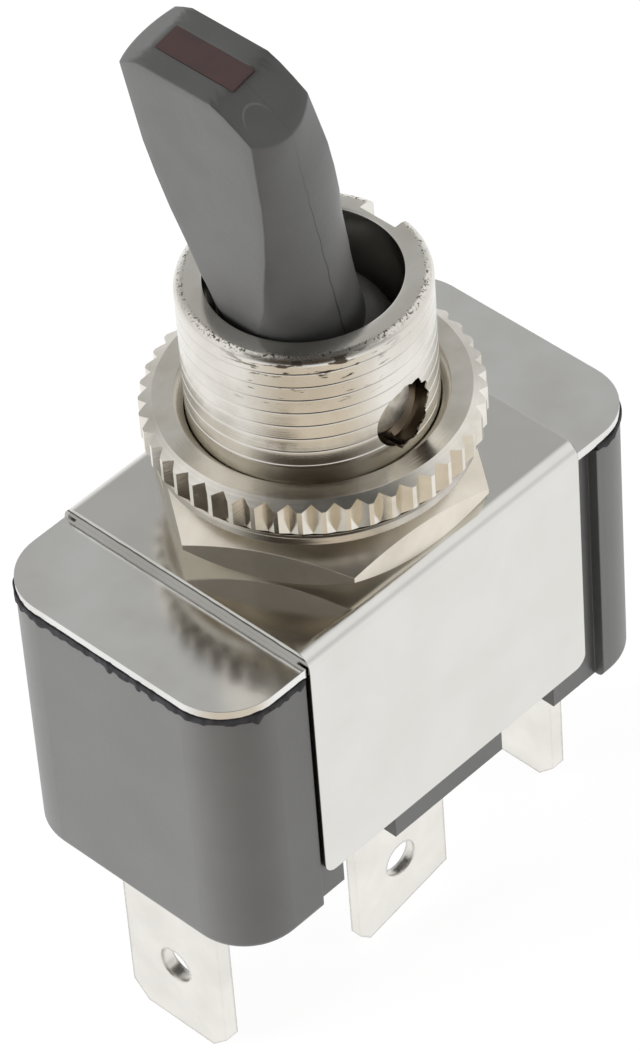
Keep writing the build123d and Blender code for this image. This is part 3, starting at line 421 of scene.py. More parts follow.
# Tin plate on brass strip: bright, slightly soft, faintly patchy, with coined edges.
tin_plate, tree, shader = new_finish("tin_plated_brass", "E2E0DA", 0.26, Metallic=1.0)
place, _ = mottle(tree, shader, "E2DFD9", "EBE8E2", 2.4)
rough_patches(tree, shader, place, 1.8, 0.22, 0.28)
relief(tree, shader, place, 0.5, 0.002, edge=0.28)

# Ground steel pin end.
ground_steel, tree, shader = new_finish("ground_steel", "D9D5CC", 0.36, Metallic=1.0)
place, _ = mottle(tree, shader, "D2CBBE", "F2EFE8", 0.5)
relief(tree, shader, place, 0.25, 0.02)

# Red diffused epoxy of the lamp.
red_epoxy, tree, shader = new_finish("red_diffused_epoxy", "9C1410", 0.25)
mottle(tree, shader, "8A120E", "B01A14", 0.8)

# Lacquered ceramic tube of the resistor.
lacquer, tree, shader = new_finish("lacquered_ceramic", "C2AC80", 0.4)
mottle(tree, shader, "B8A074", "CDB88E", 0.4)

# Glass-fibre sleeving on the lamp's leads.
sleeving, tree, shader = new_finish("glass_fibre_sleeving", "8F8D86", 0.7)
place, _ = mottle(tree, shader, "7F7D76", "A3A19A", 0.2)
relief(tree, shader, place, 0.12, 0.02)

# Natural acetal of the plunger.
acetal, tree, shader = new_finish("natural_acetal", "E4E0D4", 0.35)
mottle(tree, shader, "DCD8CB", "EAE6DB", 1.0)

# Music wire.
music_wire, tree, shader = new_finish("music_wire", "8E8C88", 0.3, Metallic=1.0)
mottle(tree, shader, "7C7A76", "A09E9A", 0.4)

# Pressed brass strip.
brass_strip, tree, shader = new_finish("pressed_brass", "C9A862", 0.28, Metallic=1.0)
place, _ = mottle(tree, shader, "B8954E", "D6B874", 1.5)
relief(tree, shader, place, 0.3, 0.005, edge=0.06)

# Silver contact rivets.
silver, tree, shader = new_finish("contact_silver", "E8E6E0", 0.22, Metallic=1.0)
mottle(tree, shader, "D6D2C8", "F0EEEA", 0.5)

CAD_FINISH = {
    "housing": phenolic,
    "cover_plate": sheet_steel,
    "strap": sheared_sheet,
    "pivot_pin_front": ground_steel,
    "pivot_pin_rear": ground_steel,
    "hex_nut": hex_nickel,
    "flat_washer": washer_nickel,
    "lock_washer": yellow_zinc,
    "led": red_epoxy,
    "resistor": lacquer,
    "plunger": acetal,
    "rocker": brass_strip,
    "moving_contact": silver,
    "fixed_contact": silver,
    "fulcrum": tin_plate,
    "fulcrum_rivets": tin_plate,
    "earth_rivet": tin_plate,
    "load_terminal": tin_plate,
    "supply_terminal": tin_plate,
    "earth_terminal": tin_plate,
    "lens": red_acrylic,
}
for name, finish in CAD_FINISH.items():
    nodes[name].data.materials.clear()
    nodes[name].data.materials.append(finish)

# ================================================================ mesh builders


def put_in_scene(name, data):
    """A new object of that mesh, lamp or camera, in the scene."""
    made = bpy.data.objects.new(name, data)
    bpy.context.scene.collection.objects.link(made)
    return made


def place_mesh(name, mesh, finish, smooth=40.0):
    """Puts a mesh made in millimetres into the scene, in metres, smooth below that angle."""
    mesh.transform(Matrix.Scale(MM, 4))
    made = put_in_scene(name, mesh)
    mesh.materials.clear()
    mesh.materials.append(finish)
    mesh.shade_smooth()
    mesh.set_sharp_from_angle(angle=radians(smooth))
    return made


def done_mesh(work, name):
    """The working mesh as a plain one of that name."""
    mesh = bpy.data.meshes.new(name)
    work.to_mesh(mesh)
    work.free()
    return mesh


def close_ring(work, loops):
    """Joins each closed outline to the next, and the last to the first."""
    for i, near in enumerate(loops):
        far = loops[(i + 1) % len(loops)]
        for j in range(len(near)):
            k = (j + 1) % len(near)
            work.faces.new((near[j], far[j], far[k], near[k]))
    bmesh.ops.recalc_face_normals(work, faces=work.faces)


def close_stack(work, loops):
    """Joins each closed outline to the next, and caps the first and the last."""
    for near, far in zip(loops, loops[1:]):
        for i in range(len(near)):
            k = (i + 1) % len(near)
            work.faces.new((near[i], near[k], far[k], far[i]))
    work.faces.new(loops[0])
    work.faces.new(loops[-1])
    bmesh.ops.recalc_face_normals(work, faces=work.faces)


def spin_profile(name, profile, steps):
    """A closed ring: the profile's (radius, height) points turned round the Z axis."""
    work = bmesh.new()
    loops = []
    for i in range(steps):
        a = 2 * pi * i / steps
        loops.append([work.verts.new((r * cos(a), r * sin(a), z)) for r, z in profile])
    close_ring(work, loops)
    return done_mesh(work, name)


def block(name, low, high):
    """A box between two corners, for cutting."""
    work = bmesh.new()
    bmesh.ops.create_cube(work, size=1.0)
    size = Vector(high) - Vector(low)
    middle = (Vector(high) + Vector(low)) / 2
    for v in work.verts:
        v.co = Vector(v.co[i] * size[i] + middle[i] for i in range(3))
    return done_mesh(work, name)


def evaluated_mesh(made, name):
    """The object's mesh with its modifiers, as a plain mesh."""
    graph = bpy.context.evaluated_depsgraph_get()
    mesh = bpy.data.meshes.new_from_object(made.evaluated_get(graph))
    mesh.name = name
    return mesh


def cut_away(made, cutters):
    """Subtracts the cutter meshes, one after the other, exactly."""
    for cutter_mesh in cutters:
        cutter = put_in_scene("cutter", cutter_mesh)
        cut = made.modifiers.new("cut", "BOOLEAN")
        cut.operation = "DIFFERENCE"
        cut.solver = "EXACT"
        cut.object = cutter
        mesh = evaluated_mesh(made, made.name)
        made.modifiers.remove(cut)
        made.data = mesh
        bpy.data.objects.remove(cutter)


def end_tree(tree, shape, material):
    """Ends a geometry-nodes tree: instances are made real and given their finish."""
    real = add(tree, "GeometryNodeRealizeInstances", {0: shape}).outputs[0]
    dressed = {"Geometry": real, "Material": material}
    faced = add(tree, "GeometryNodeSetMaterial", dressed).outputs[0]
    add(tree, "NodeGroupOutput", {0: faced})
    return tree


def run_tree(made, tree, values):
    """The plain mesh that a tree makes of an object; inputs are set by their identifiers."""
    modifier = made.modifiers.new(tree.name, "NODES")
    modifier.node_group = tree
    for item in tree.interface.items_tree:
        if item.in_out == "INPUT" and item.name in values:
            modifier[item.identifier] = values[item.name]
    mesh = evaluated_mesh(made, made.name)
    made.modifiers.clear()
    return mesh


# ================================================================ bushing


def thread_tree():
    """Geometry nodes that cut a thread's grooves into a plain turned blank, in millimetres."""
    tree = bpy.data.node_groups.new("cut_thread", "GeometryNodeTree")
    face = tree.interface
    face.new_socket("Geometry", in_out="INPUT", socket_type="NodeSocketGeometry")
    sizes = {"Pitch": 0.794, "Depth": 0.07, "Lip": 0.15, "Undercut": 0.03, "Crest radius": 5.95}
    sizes.update({"Foot": 5.6, "Rim": 12.1})
    for label, value in sizes.items():
        face.new_socket(label, in_out="INPUT", socket_type="NodeSocketFloat").default_value = value
    face.new_socket("Material", in_out="INPUT", socket_type="NodeSocketMaterial")
    face.new_socket("Geometry", in_out="OUTPUT", socket_type="NodeSocketGeometry")
    given = tree.nodes.new("NodeGroupInput").outputs
    here = add(tree, "GeometryNodeInputPosition").outputs[0]
    xyz = add(tree, "ShaderNodeSeparateXYZ", {0: here}).outputs
    flat = add(tree, "ShaderNodeCombineXYZ", {0: xyz[0], 1: xyz[1]}).outputs[0]
    radius = add(tree, "ShaderNodeVectorMath", {0: flat}, operation="LENGTH").outputs["Value"]
    out = add(tree, "ShaderNodeVectorMath", {0: flat}, operation="NORMALIZE").outputs[0]
    angle = add(tree, "ShaderNodeMath", {0: xyz[1], 1: xyz[0]}, operation="ARCTAN2").outputs[0]
    turns = add(tree, "ShaderNodeMath", {0: angle, 1: 2 * pi}, operation="DIVIDE").outputs[0]
    rise = add(tree, "ShaderNodeMath", {0: xyz[2], 1: given["Pitch"]}, operation="DIVIDE").outputs[0]
    phase = add(tree, "ShaderNodeMath", {0: rise, 1: turns}, operation="SUBTRACT").outputs[0]
    saw = add(tree, "ShaderNodeMath", {0: phase}, operation="FRACT").outputs[0]
    off = add(tree, "ShaderNodeMath", {0: saw, 1: 0.5}, operation="SUBTRACT").outputs[0]
    # the land below eases into the groove over its lip; the land above overhangs it
    lip_share = add(tree, "ShaderNodeMath", {0: off, 1: given["Lip"]}, operation="DIVIDE").outputs[0]
    eased = add(
        tree, "ShaderNodeMapRange", {"Value": lip_share, "From Min": -1.0, "From Max": 0.0}
    ).outputs[0]
    lip = add(tree, "ShaderNodeMath", {0: eased, 1: 2.0}, operation="POWER").outputs[0]
    hang_share = add(tree, "ShaderNodeMath", {0: off, 1: given["Undercut"]}, operation="DIVIDE").outputs[0]
    hang = add(
        tree, "ShaderNodeMapRange", {"Value": hang_share, "From Min": 1.0, "From Max": 0.0}
    ).outputs[0]
    groove = add(tree, "ShaderNodeMath", {0: lip, 1: hang}, operation="MINIMUM").outputs[0]
    cut = add(tree, "ShaderNodeMath", {0: groove, 1: given["Depth"]}, operation="MULTIPLY").outputs[0]
    just_inside = {0: given["Crest radius"], 1: 0.03}
    skin_edge = add(tree, "ShaderNodeMath", just_inside, operation="SUBTRACT").outputs[0]
    on_skin = add(tree, "ShaderNodeMath", {0: radius, 1: skin_edge}, operation="GREATER_THAN").outputs[0]
    above = add(tree, "ShaderNodeMath", {0: xyz[2], 1: given["Foot"]}, operation="GREATER_THAN").outputs[0]
    below = add(tree, "ShaderNodeMath", {0: xyz[2], 1: given["Rim"]}, operation="LESS_THAN").outputs[0]
    span = add(tree, "ShaderNodeMath", {0: above, 1: below}, operation="MULTIPLY").outputs[0]
    chosen = add(tree, "ShaderNodeMath", {0: span, 1: on_skin}, operation="MULTIPLY").outputs[0]
    depth = add(tree, "ShaderNodeMath", {0: cut, 1: chosen}, operation="MULTIPLY").outputs[0]
    inward = add(tree, "ShaderNodeMath", {0: depth, 1: -1.0}, operation="MULTIPLY").outputs[0]
    shift = add(tree, "ShaderNodeVectorMath", {0: out, "Scale": inward}, operation="SCALE").outputs[0]
    sunk = {"Geometry": given["Geometry"], "Offset": shift}
    moved = add(tree, "GeometryNodeSetPosition", sunk).outputs[0]
    return end_tree(tree, moved, given["Material"])


THREAD_BOTTOM = 5.2
THREAD_TOP = BUSHING_TOP - RIM_CHAMFER
# Where the rows of points lie within one pitch: close together at the groove.
ROW_PHASES = (0.0, 0.17, 0.35, 0.38, 0.41, 0.44, 0.47, 0.5, 0.515, 0.53, 0.69, 0.85)


def helix_skin(steps):
    """The thread's blank: rows of points that climb one pitch a turn, stopped at both ends."""
    work = bmesh.new()
    per_pitch = len(ROW_PHASES)
    first = int(THREAD_BOTTOM / PITCH) - 2
    turns = int((THREAD_TOP - THREAD_BOTTOM) / PITCH) + 5
    columns = []
    for i in range(steps):
        a = 2 * pi * i / steps
        column = []
        for row in range(turns * per_pitch):
            z = PITCH * (first + row // per_pitch + ROW_PHASES[row % per_pitch] + i / steps)
            z = min(max(z, THREAD_BOTTOM), THREAD_TOP)
            column.append(work.verts.new((THREAD_R * cos(a), THREAD_R * sin(a), z)))
        columns.append(column)
    for i in range(steps):
        near, far = columns[i], columns[(i + 1) % steps]
        shift = per_pitch if i == steps - 1 else 0
        for row in range(len(near) - 1 - per_pitch):
            work.faces.new((near[row], far[row + shift], far[row + 1 + shift], near[row + 1]))
    # the rest of the turned blank, from the top of the thread round to its foot
    profile = [
        (THREAD_R, THREAD_TOP),
        (THREAD_R - 0.04, THREAD_TOP + 0.14),
        (THREAD_R - 0.16, THREAD_TOP + 0.27),
        (THREAD_R - 0.34, BUSHING_TOP - 0.03),
        (THREAD_R - 0.43, BUSHING_TOP),
        (BORE_R + 0.14, BUSHING_TOP),
        (BORE_R + 0.04, BUSHING_TOP - 0.04),
        (BORE_R, BUSHING_TOP - 0.14),
        (BORE_R, BUSHING_FOOT),
        (FLARE_R, BUSHING_FOOT),
        (FLARE_R, PLATE_UNDER),
        (SPIGOT_R, PLATE_UNDER),
        (SPIGOT_R, 0.0),
        (THREAD_R, 0.0),
        (THREAD_R, THREAD_BOTTOM),
    ]
    rings = [
        [work.verts.new((r * cos(2 * pi * i / steps), r * sin(2 * pi * i / steps), z)) for r, z in profile]
        for i in range(steps)
    ]
    for i in range(steps):
        near, far = rings[i], rings[(i + 1) % steps]
        for j in range(len(profile) - 1):
            work.faces.new((near[j], far[j], far[j + 1], near[j + 1]))
    bmesh.ops.remove_doubles(work, verts=work.verts, dist=0.0005)
    loose = [v for v in work.verts if not v.link_faces]
    bmesh.ops.delete(work, geom=loose, context="VERTS")
    bmesh.ops.recalc_face_normals(work, faces=work.faces)
    return done_mesh(work, "threaded_bushing")


bushing = put_in_scene("threaded_bushing", helix_skin(240))
thread_sizes = {"Pitch": PITCH, "Crest radius": THREAD_R, "Foot": 5.75, "Material": thread_nickel}
bushing.data = run_tree(bushing, thread_tree(), thread_sizes)


def between(table, at):
    """The value at a place in a table of places and values."""
    for (near, low), (far, high) in zip(table, table[1:]):
        if at <= far:
            return low + (high - low) * max(0.0, at - near) / (far - near)
    return table[-1][1]


# How far the near mouth of the pivot hole is torn at angles from +X towards +Z.
TEARS = (
    (-180, 0.0),
    (-112, 0.0),
    (-98, 0.26),
    (-84, 0.06),
    (-66, 0.3),
    (-54, 0.08),
    (-40, 0.36),
    (-22, 0.1),
    (-6, 0.4),
    (8, 0.12),
    (22, 0.36),
    (36, 0.06),
    (54, 0.26),
    (68, 0.03),
    (84, 0.1),
    (98, 0.0),
    (180, 0.0),
)


# The near mouth in rows from outside in: depth from the thread's skin, share of the tears,
# share of the broken-back wall. The chips are a skin 0.1 thick with the wall broken behind.
MOUTH_ROWS = ((-2.0, 1, 0), (0.1, 1, 0), (0.13, 0, 1), (0.8, 0, 0.8), (1.1, 0, 0))
CRUMB = 0.1
BROKEN_BACK = 0.42
BROKEN_TOWARD = 0.3  # radians from +X


def hole_cutter(radius, length, steps=180):
    """A cylinder along Y at the pivot, its near mouth torn on the +X side into chips."""
    work = bmesh.new()
    loops = []
    for depth, torn, broken in (*MOUTH_ROWS, (None, 0, 0)):
        loop = []
        for i in range(steps):
            a = 2 * pi * i / steps
            bearing = degrees(atan2(sin(a), cos(a)))
            crumb = CRUMB * abs(noise.noise(Vector((9 * cos(a), 9 * sin(a), 0.4))))
            tear = between(TEARS, bearing)
            back = BROKEN_BACK * max(0.0, cos(a + BROKEN_TOWARD)) ** 0.5
            reach = radius + torn * (tear + crumb * min(1.0, tear * 8)) + broken * back
            skin = -((THREAD_R**2 - (reach * cos(a)) ** 2) ** 0.5)
            y = length if depth is None else skin + depth
            loop.append(work.verts.new((reach * cos(a), y, PIVOT_Z + reach * sin(a))))
        loops.append(loop)
    close_stack(work, loops)
    return done_mesh(work, "pivot_hole")


keyway = block("keyway", (KEYWAY_FLOOR, -KEYWAY_WIDTH / 2, 0.0), (8.0, KEYWAY_WIDTH / 2, 14.0))
cut_away(bushing, [keyway, hole_cutter(PIVOT_BORE_R, 7.0)])
bushing_mesh = bushing.data
bpy.data.objects.remove(bushing)
bushing = place_mesh("threaded_bushing", bushing_mesh, thread_nickel, smooth=28.0)
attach(bushing, "switch_body")
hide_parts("bushing")

# ================================================================ knurled nut


def knurl_tree():
    """Geometry nodes that set equal teeth round a ring, then give them their finish."""
    tree = bpy.data.node_groups.new("knurl_teeth", "GeometryNodeTree")
    face = tree.interface
    face.new_socket("Tooth", in_out="INPUT", socket_type="NodeSocketGeometry")
    face.new_socket("Teeth", in_out="INPUT", socket_type="NodeSocketInt").default_value = 46
    face.new_socket("Material", in_out="INPUT", socket_type="NodeSocketMaterial")
    face.new_socket("Geometry", in_out="OUTPUT", socket_type="NodeSocketGeometry")
    given = tree.nodes.new("NodeGroupInput").outputs
    points = add(
        tree, "GeometryNodeMeshLine", {"Count": given["Teeth"], "Offset": (0.0, 0.0, 0.0)}
    ).outputs[0]
    index = add(tree, "GeometryNodeInputIndex").outputs[0]
    share = add(tree, "ShaderNodeMath", {0: index, 1: given["Teeth"]}, operation="DIVIDE").outputs[0]
    angle = add(tree, "ShaderNodeMath", {0: share, 1: 2 * pi}, operation="MULTIPLY").outputs[0]
    turn = add(tree, "ShaderNodeCombineXYZ", {2: angle}).outputs[0]
    ring = add(
        tree,
        "GeometryNodeInstanceOnPoints",
        {"Points": points, "Instance": given["Tooth"], "Rotation": turn},
    ).outputs[0]
    return end_tree(tree, ring, given["Material"])


def tooth_mesh():
    """One knurl tooth on the +X side: a narrow crest between two V cuts, under the bevel."""
    half = pi / KNURL_TEETH
    root, valley, crest_share = 7.42, KNURL_R - 0.4, 0.2
    undercut = 0.85  # how much lower the skirt hangs for each step in from the crest
    places = (-1.0, -0.8, -0.6, -0.4, -crest_share, 0.0, crest_share, 0.4, 0.6, 0.8, 1.0)
    work = bmesh.new()
    columns = []
    for place in places:
        ridge = min(1.0, (1 - abs(place)) / (1 - crest_share))
        r = valley + (KNURL_R - valley) * ridge
        skirt = KNURL_SKIRT - undercut * (KNURL_R - r)
        top = KNURL_TOP - KNURL_BEVEL * (r - KNURL_FACE_R) / (KNURL_R - KNURL_FACE_R)
        points = (
            (root, skirt),
            (r - 0.03, skirt),
            (r, skirt + 0.03),
            (r, top),
            (KNURL_FACE_R, KNURL_TOP),
            (root, KNURL_TOP - 0.05),
        )
        a = half * place
        columns.append([work.verts.new((q * cos(a), q * sin(a), z)) for q, z in points])
    close_stack(work, columns)
    return done_mesh(work, "knurl_tooth")


teeth = put_in_scene("knurl_teeth", tooth_mesh())
teeth_mesh = run_tree(teeth, knurl_tree(), {"Teeth": KNURL_TEETH, "Material": nut_nickel})
bpy.data.objects.remove(teeth)

body_profile = [
    (NUT_BORE_R, KNURL_FOOT),
    (7.38, KNURL_FOOT),
    (7.4, KNURL_SKIRT - 0.32),
    (7.46, KNURL_SKIRT - 0.32),
    (KNURL_FACE_R, KNURL_TOP - 0.01),
    (KNURL_FACE_R - 0.015, KNURL_TOP + 0.012),
    (KNURL_FACE_R - 0.06, KNURL_TOP),
    (NUT_MOUTH_R + 0.05, KNURL_TOP),
    (NUT_MOUTH_R - 0.03, KNURL_TOP - 0.05),
    (NUT_BORE_R + 0.05, KNURL_TOP - 0.42),
    (NUT_BORE_R, KNURL_TOP - 0.5),
]
nut_mesh = spin_profile("knurled_ring", body_profile, 184)
work = bmesh.new()
work.from_mesh(nut_mesh)
work.from_mesh(teeth_mesh)
work.to_mesh(nut_mesh)
work.free()
ring_nut = place_mesh("knurled_ring_nut", nut_mesh, nut_nickel, smooth=25.0)
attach(ring_nut, "knurled_nut")
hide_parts("knurled_nut")

# ================================================================ lever


# Half width of the flat faces at distances up from the pivot: they narrow to a tongue.
FLAT_HALF = (
    (-9.0, 0.3),
    (5.0, 0.5),
    (6.0, 1.1),
    (8.0, 1.93),
    (10.0, 2.4),
    (12.0, 2.96),
    (14.0, 3.36),
    (16.0, 3.65),
    (22.0, 3.9),
)
NECK = 2.6
NECK_HALF = (3.18, 3.28)
TIP_HALF = (1.8, 4.42)
NEAR_SIDE_SHIFT = -0.16
LEAST_BULGE = 0.25
SHOULDER = 16.5
WINDOW_HALF = (0.705, 2.325)
WINDOW_DEPTH = 0.6
END_DROP = 0.6
EDGE_ROUND = 0.17
BALL_R = 4.52
TAIL_R = 2.1
TAIL_LENGTH = 10.0
TAIL_MIDDLE = 7.0
# The end face: its flat middle, and how it falls away beyond it on each side.
END_TOP = LEVER_TIP - 0.01
FAR_FLAT, FAR_SLOPE = 2.5, 0.58
NEAR_FLAT, NEAR_RUN, NEAR_DROP = -2.1, 2.3, 2.1


def lever_section(s):
    """Points round the lever at a distance up from its pivot: two flats joined by arcs."""
    share = (s - NECK) / (LEVER_TIP - NECK)
    thick = NECK_HALF[0] + (TIP_HALF[0] - NECK_HALF[0]) * share
    width = NECK_HALF[1] + (TIP_HALF[1] - NECK_HALF[1]) * share
    shift = NEAR_SIDE_SHIFT * max(0.0, share)
    flat = min(between(FLAT_HALF, s), width - LEAST_BULGE)
    bulge = width - flat
    arc_r = (thick**2 + bulge**2) / (2 * bulge)
    reach = atan2(thick, arc_r - bulge)
    half = [(thick, -flat + 2 * flat * i / 12) for i in range(12)]
    for i in range(24):
        a = reach * (1 - 2 * i / 24)
        half.append((arc_r * sin(a), flat + bulge - arc_r + arc_r * cos(a)))
    return [(x, y + shift) for x, y in half] + [(-x, -y + shift) for x, y in half]


def in_lever(x, y, s):
    """A point of the lever's own frame, in the frame of the part."""
    return Vector((x * cos(LEAN) - s * sin(LEAN), y, PIVOT_Z + s * cos(LEAN) + x * sin(LEAN)))


def end_height(y):
    """How far up the end face lies: it falls away beyond its flat middle, more at the front."""
    if y > FAR_FLAT:
        return END_TOP - FAR_SLOPE * (y - FAR_FLAT)
    if y < NEAR_FLAT:
        fall = (NEAR_FLAT - y) / NEAR_RUN
        return END_TOP - NEAR_DROP * fall**1.3
    return END_TOP


def blade_mesh():
    """The lever's blade, closed over its end by rings that go down into the lens window."""
    work = bmesh.new()
    loops = []
    for i in range(36):
        s = -1.0 + (SHOULDER + 1.0) * i / 35
        loops.append([work.verts.new(in_lever(x, y, s)) for x, y in lever_section(s)])
    for i in range(1, 11):
        t = i / 10
        ring = []
        for x, y in lever_section(SHOULDER + (LEVER_TIP - END_DROP - SHOULDER) * t):
            s = SHOULDER + (end_height(y) - SHOULDER) * t
            ring.append(work.verts.new(in_lever(x, y, s)))
        loops.append(ring)
    outer = lever_section(LEVER_TIP - END_DROP)
    for t in (0.12, 0.3, 0.5, 0.7, 0.85, 1.0):
        ring = []
        for x, y in outer:
            k = max(abs(x) / WINDOW_HALF[0], abs(y) / WINDOW_HALF[1])
            x, y = x + (x / k - x) * t, y + (y / k - y) * t
            ring.append(work.verts.new(in_lever(x, y, end_height(y))))
        loops.append(ring)
    deep = in_lever(0, 0, 0) - in_lever(0, 0, WINDOW_DEPTH)
    loops.append([work.verts.new(v.co + deep) for v in loops[-1]])
    close_stack(work, loops)
    return done_mesh(work, "lever_blade")


def lever_mesh():
    """The blade with its ball and tail: three closed shells, solid inside, without the
    sockets, bore and wireway that the CAD lever has."""
    blade = put_in_scene("lever_blade", blade_mesh())
    # its moulded edges are rounded
    rounding = blade.modifiers.new("edges", "BEVEL")
    rounding.width = EDGE_ROUND
    rounding.segments = 3
    rounding.limit_method = "ANGLE"
    rounding.angle_limit = radians(19.0)
    rounded = evaluated_mesh(blade, "lever_blade")
    blade.modifiers.clear()
    bpy.data.objects.remove(blade)
    work = bmesh.new()
    work.from_mesh(rounded)
    ball = bmesh.ops.create_uvsphere(work, u_segments=64, v_segments=40, radius=BALL_R)
    for v in ball["verts"]:
        v.co = in_lever(v.co.x, v.co.y, v.co.z)
    tail = bmesh.ops.create_cone(
        work, cap_ends=True, segments=48, radius1=TAIL_R, radius2=TAIL_R, depth=TAIL_LENGTH
    )
    for v in tail["verts"]:
        v.co = in_lever(v.co.x, v.co.y, v.co.z - TAIL_MIDDLE)
    return done_mesh(work, "duckbill_lever")


lever = place_mesh("duckbill_lever", lever_mesh(), black_nylon, smooth=32.0)
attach(lever, "lever")
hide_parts("lever")

# ================================================================ gasket

# The sheet's outline is the body's, drawn in where the strap comes down both sides.
BODY_HALF = (14.375, 7.775)
BODY_CORNER = 3.1
RECESS = (-9.25, 10.75, 7.2)  # from and to along X, and how far out the sheet still is
GASKET_THICK = 0.3
GASKET_INNER = -0.6


def body_loop(step):
    """Points round the body with their outward directions, and whether they are in a recess."""
    half_x, half_y = BODY_HALF
    corners = []
    for cx, cy, start in ((1, 1, 0), (-1, 1, 90), (-1, -1, 180), (1, -1, 270)):
        for i in range(19):
            a = radians(start + 5 * i)
            out = (cos(a), sin(a))
            x = cx * (half_x - BODY_CORNER) + BODY_CORNER * out[0]
            y = cy * (half_y - BODY_CORNER) + BODY_CORNER * out[1]
            corners.append(((x, y), out))
    points = []
    for (near, out), (far, _) in zip(corners, corners[1:] + corners[:1]):
        length = hypot(far[0] - near[0], far[1] - near[1])
        count = max(1, round(length / step))
        for i in range(count):
            t = i / count
            x, y = near[0] + (far[0] - near[0]) * t, near[1] + (far[1] - near[1]) * t
            if length < 1:
                direction = out
            elif abs(y) > half_y - 0.01:
                direction = (0.0, copysign(1, y))
            else:
                direction = (copysign(1, x), 0.0)
            inside = abs(y) > RECESS[2] and RECESS[0] < x < RECESS[1]
            points.append((x, copysign(RECESS[2], y) if inside else y, direction, inside))
    return points


def gasket_mesh():
    """A punched fibre sheet, its edge squeezed out, torn and hanging a little down the wall."""
    top, wall_top = PLATE_UNDER, PLATE_UNDER - GASKET_THICK
    work = bmesh.new()
    rings = []
    for x, y, (nx, ny), inside in body_loop(0.06):
        spot = Vector((x * 0.9, y * 0.9, 3.0))
        coarse = noise.noise(spot)
        fine = noise.noise(spot * 2.4)
        proud = 0.02 if inside else 0.09 + 0.06 * coarse + 0.1 * max(0.0, fine)
        hang = 0.0 if inside else max(0.0, 0.12 + 0.3 * coarse + 0.45 * fine)
        edge = [
            (GASKET_INNER, top),
            (proud * 0.6, top),
            (proud, top - 0.1),
            (proud * 0.9, wall_top - 0.6 * hang),
            (proud * 0.4, wall_top - hang),
            (-0.04, wall_top - hang - 0.01),
            (GASKET_INNER, wall_top),
        ]
        rings.append([work.verts.new((x + nx * d, y + ny * d, z)) for d, z in edge])
    close_ring(work, rings)
    return done_mesh(work, "fibre_gasket")


gasket = place_mesh("fibre_gasket", gasket_mesh(), black_fibre, smooth=30.0)
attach(gasket, "switch_body")
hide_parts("gasket")

# ================================================================ lamp leads and plunger spring


def supple_copy(node, name, finish, step):
    """A node's solid as a welded mesh, its long edges cut into rows of points."""
    work = bmesh.new()
    work.from_mesh(nodes[node].data)
    bmesh.ops.scale(work, vec=(1 / MM, 1 / MM, 1 / MM), verts=work.verts)
    bmesh.ops.remove_doubles(work, verts=work.verts, dist=0.001)
    long_edges = [e for e in work.edges if e.calc_length() > step]
    bmesh.ops.subdivide_edges(work, edges=long_edges, cuts=8)
    bmesh.ops.recalc_face_normals(work, faces=work.faces)
    made = place_mesh(name, done_mesh(work, name), finish, smooth=50.0)
    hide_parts(node)
    return made


# The sleeved leads follow the lever down to its ports, and the housing from there on.
for node in ("load_lead", "earth_lead"):
    lead = supple_copy(node, node + "_sleeve", sleeving, 1.0)
    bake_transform(lead)

coil = supple_copy("plunger_spring", "plunger_coil", music_wire, 5.0)
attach(coil, "lever")
upward = in_lever(0, 0, 1) - in_lever(0, 0, 0)
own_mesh(coil)

# ================================================================ camera, light and floor

camera = put_in_scene("camera", bpy.data.cameras.new("camera"))
bpy.context.scene.camera = camera
camera.location = Vector((-137.708, -144.918, 190.441)) * MM
camera.rotation_euler = Euler((radians(45.824), radians(3.249), radians(-46.650)), "XYZ")
camera.data.sensor_width = 36.0
camera.data.lens = 201.84
camera.data.clip_start = 0.01
camera.data.clip_end = 20.0

floor_paint = bpy.data.materials.new("white_floor")
floor_paint.use_nodes = True
tree = floor_paint.node_tree
paint = tree.nodes["Principled BSDF"]
paint.inputs["Base Color"].default_value = (0.86, 0.86, 0.86, 1.0)
paint.inputs["Roughness"].default_value = 1.0
paint.inputs["Specular IOR Level"].default_value = 0.0
rays = add(tree, "ShaderNodeLightPath").outputs
# painted shade, for reflections only: seen in the metal and plastics, the floor is dim and warm on the side
# that the switch is looked at from
where = add(tree, "ShaderNodeTexCoord").outputs["Object"]
level = add(tree, "ShaderNodeVectorMath", {0: where, 1: (1.0, 1.0, 0.0)}, operation="MULTIPLY").outputs[0]
bearing = add(tree, "ShaderNodeVectorMath", {0: level}, operation="NORMALIZE").outputs[0]
ahead = {0: bearing, 1: (-0.69, -0.724, 0.0)}
facing = add(tree, "ShaderNodeVectorMath", ahead, operation="DOT_PRODUCT").outputs["Value"]
front = add(tree, "ShaderNodeMapRange", {"Value": facing, "From Min": 0.5, "From Max": 0.92}).outputs[0]
away = add(tree, "ShaderNodeVectorMath", {0: level}, operation="LENGTH").outputs["Value"]
near = add(tree, "ShaderNodeMapRange", {"Value": away, "From Min": 0.25, "From Max": 0.1}).outputs[0]
clear_of = add(tree, "ShaderNodeMapRange", {"Value": away, "From Min": 0.022, "From Max": 0.036}).outputs[0]
belt = add(tree, "ShaderNodeMath", {0: near, 1: clear_of}, operation="MULTIPLY").outputs[0]
patch = add(tree, "ShaderNodeMath", {0: front, 1: belt}, operation="MULTIPLY").outputs[0]
shade = add(tree, "ShaderNodeMath", {0: patch, 1: rays["Is Glossy Ray"]}, operation="MULTIPLY").outputs[0]
tint = add(tree, "ShaderNodeMix", {0: shade, 6: srgb("FFFFFF"), 7: srgb("DBD0BF")}, data_type="RGBA")
glow = add(tree, "ShaderNodeEmission", {"Color": tint.outputs[2], "Strength": 1.04})
seen = add(tree, "ShaderNodeMath", {0: rays["Is Camera Ray"], 1: 0.9}, operation="MULTIPLY").outputs[0]
shiny = add(tree, "ShaderNodeMath", {0: seen, 1: rays["Is Glossy Ray"]}, operation="MAXIMUM").outputs[0]
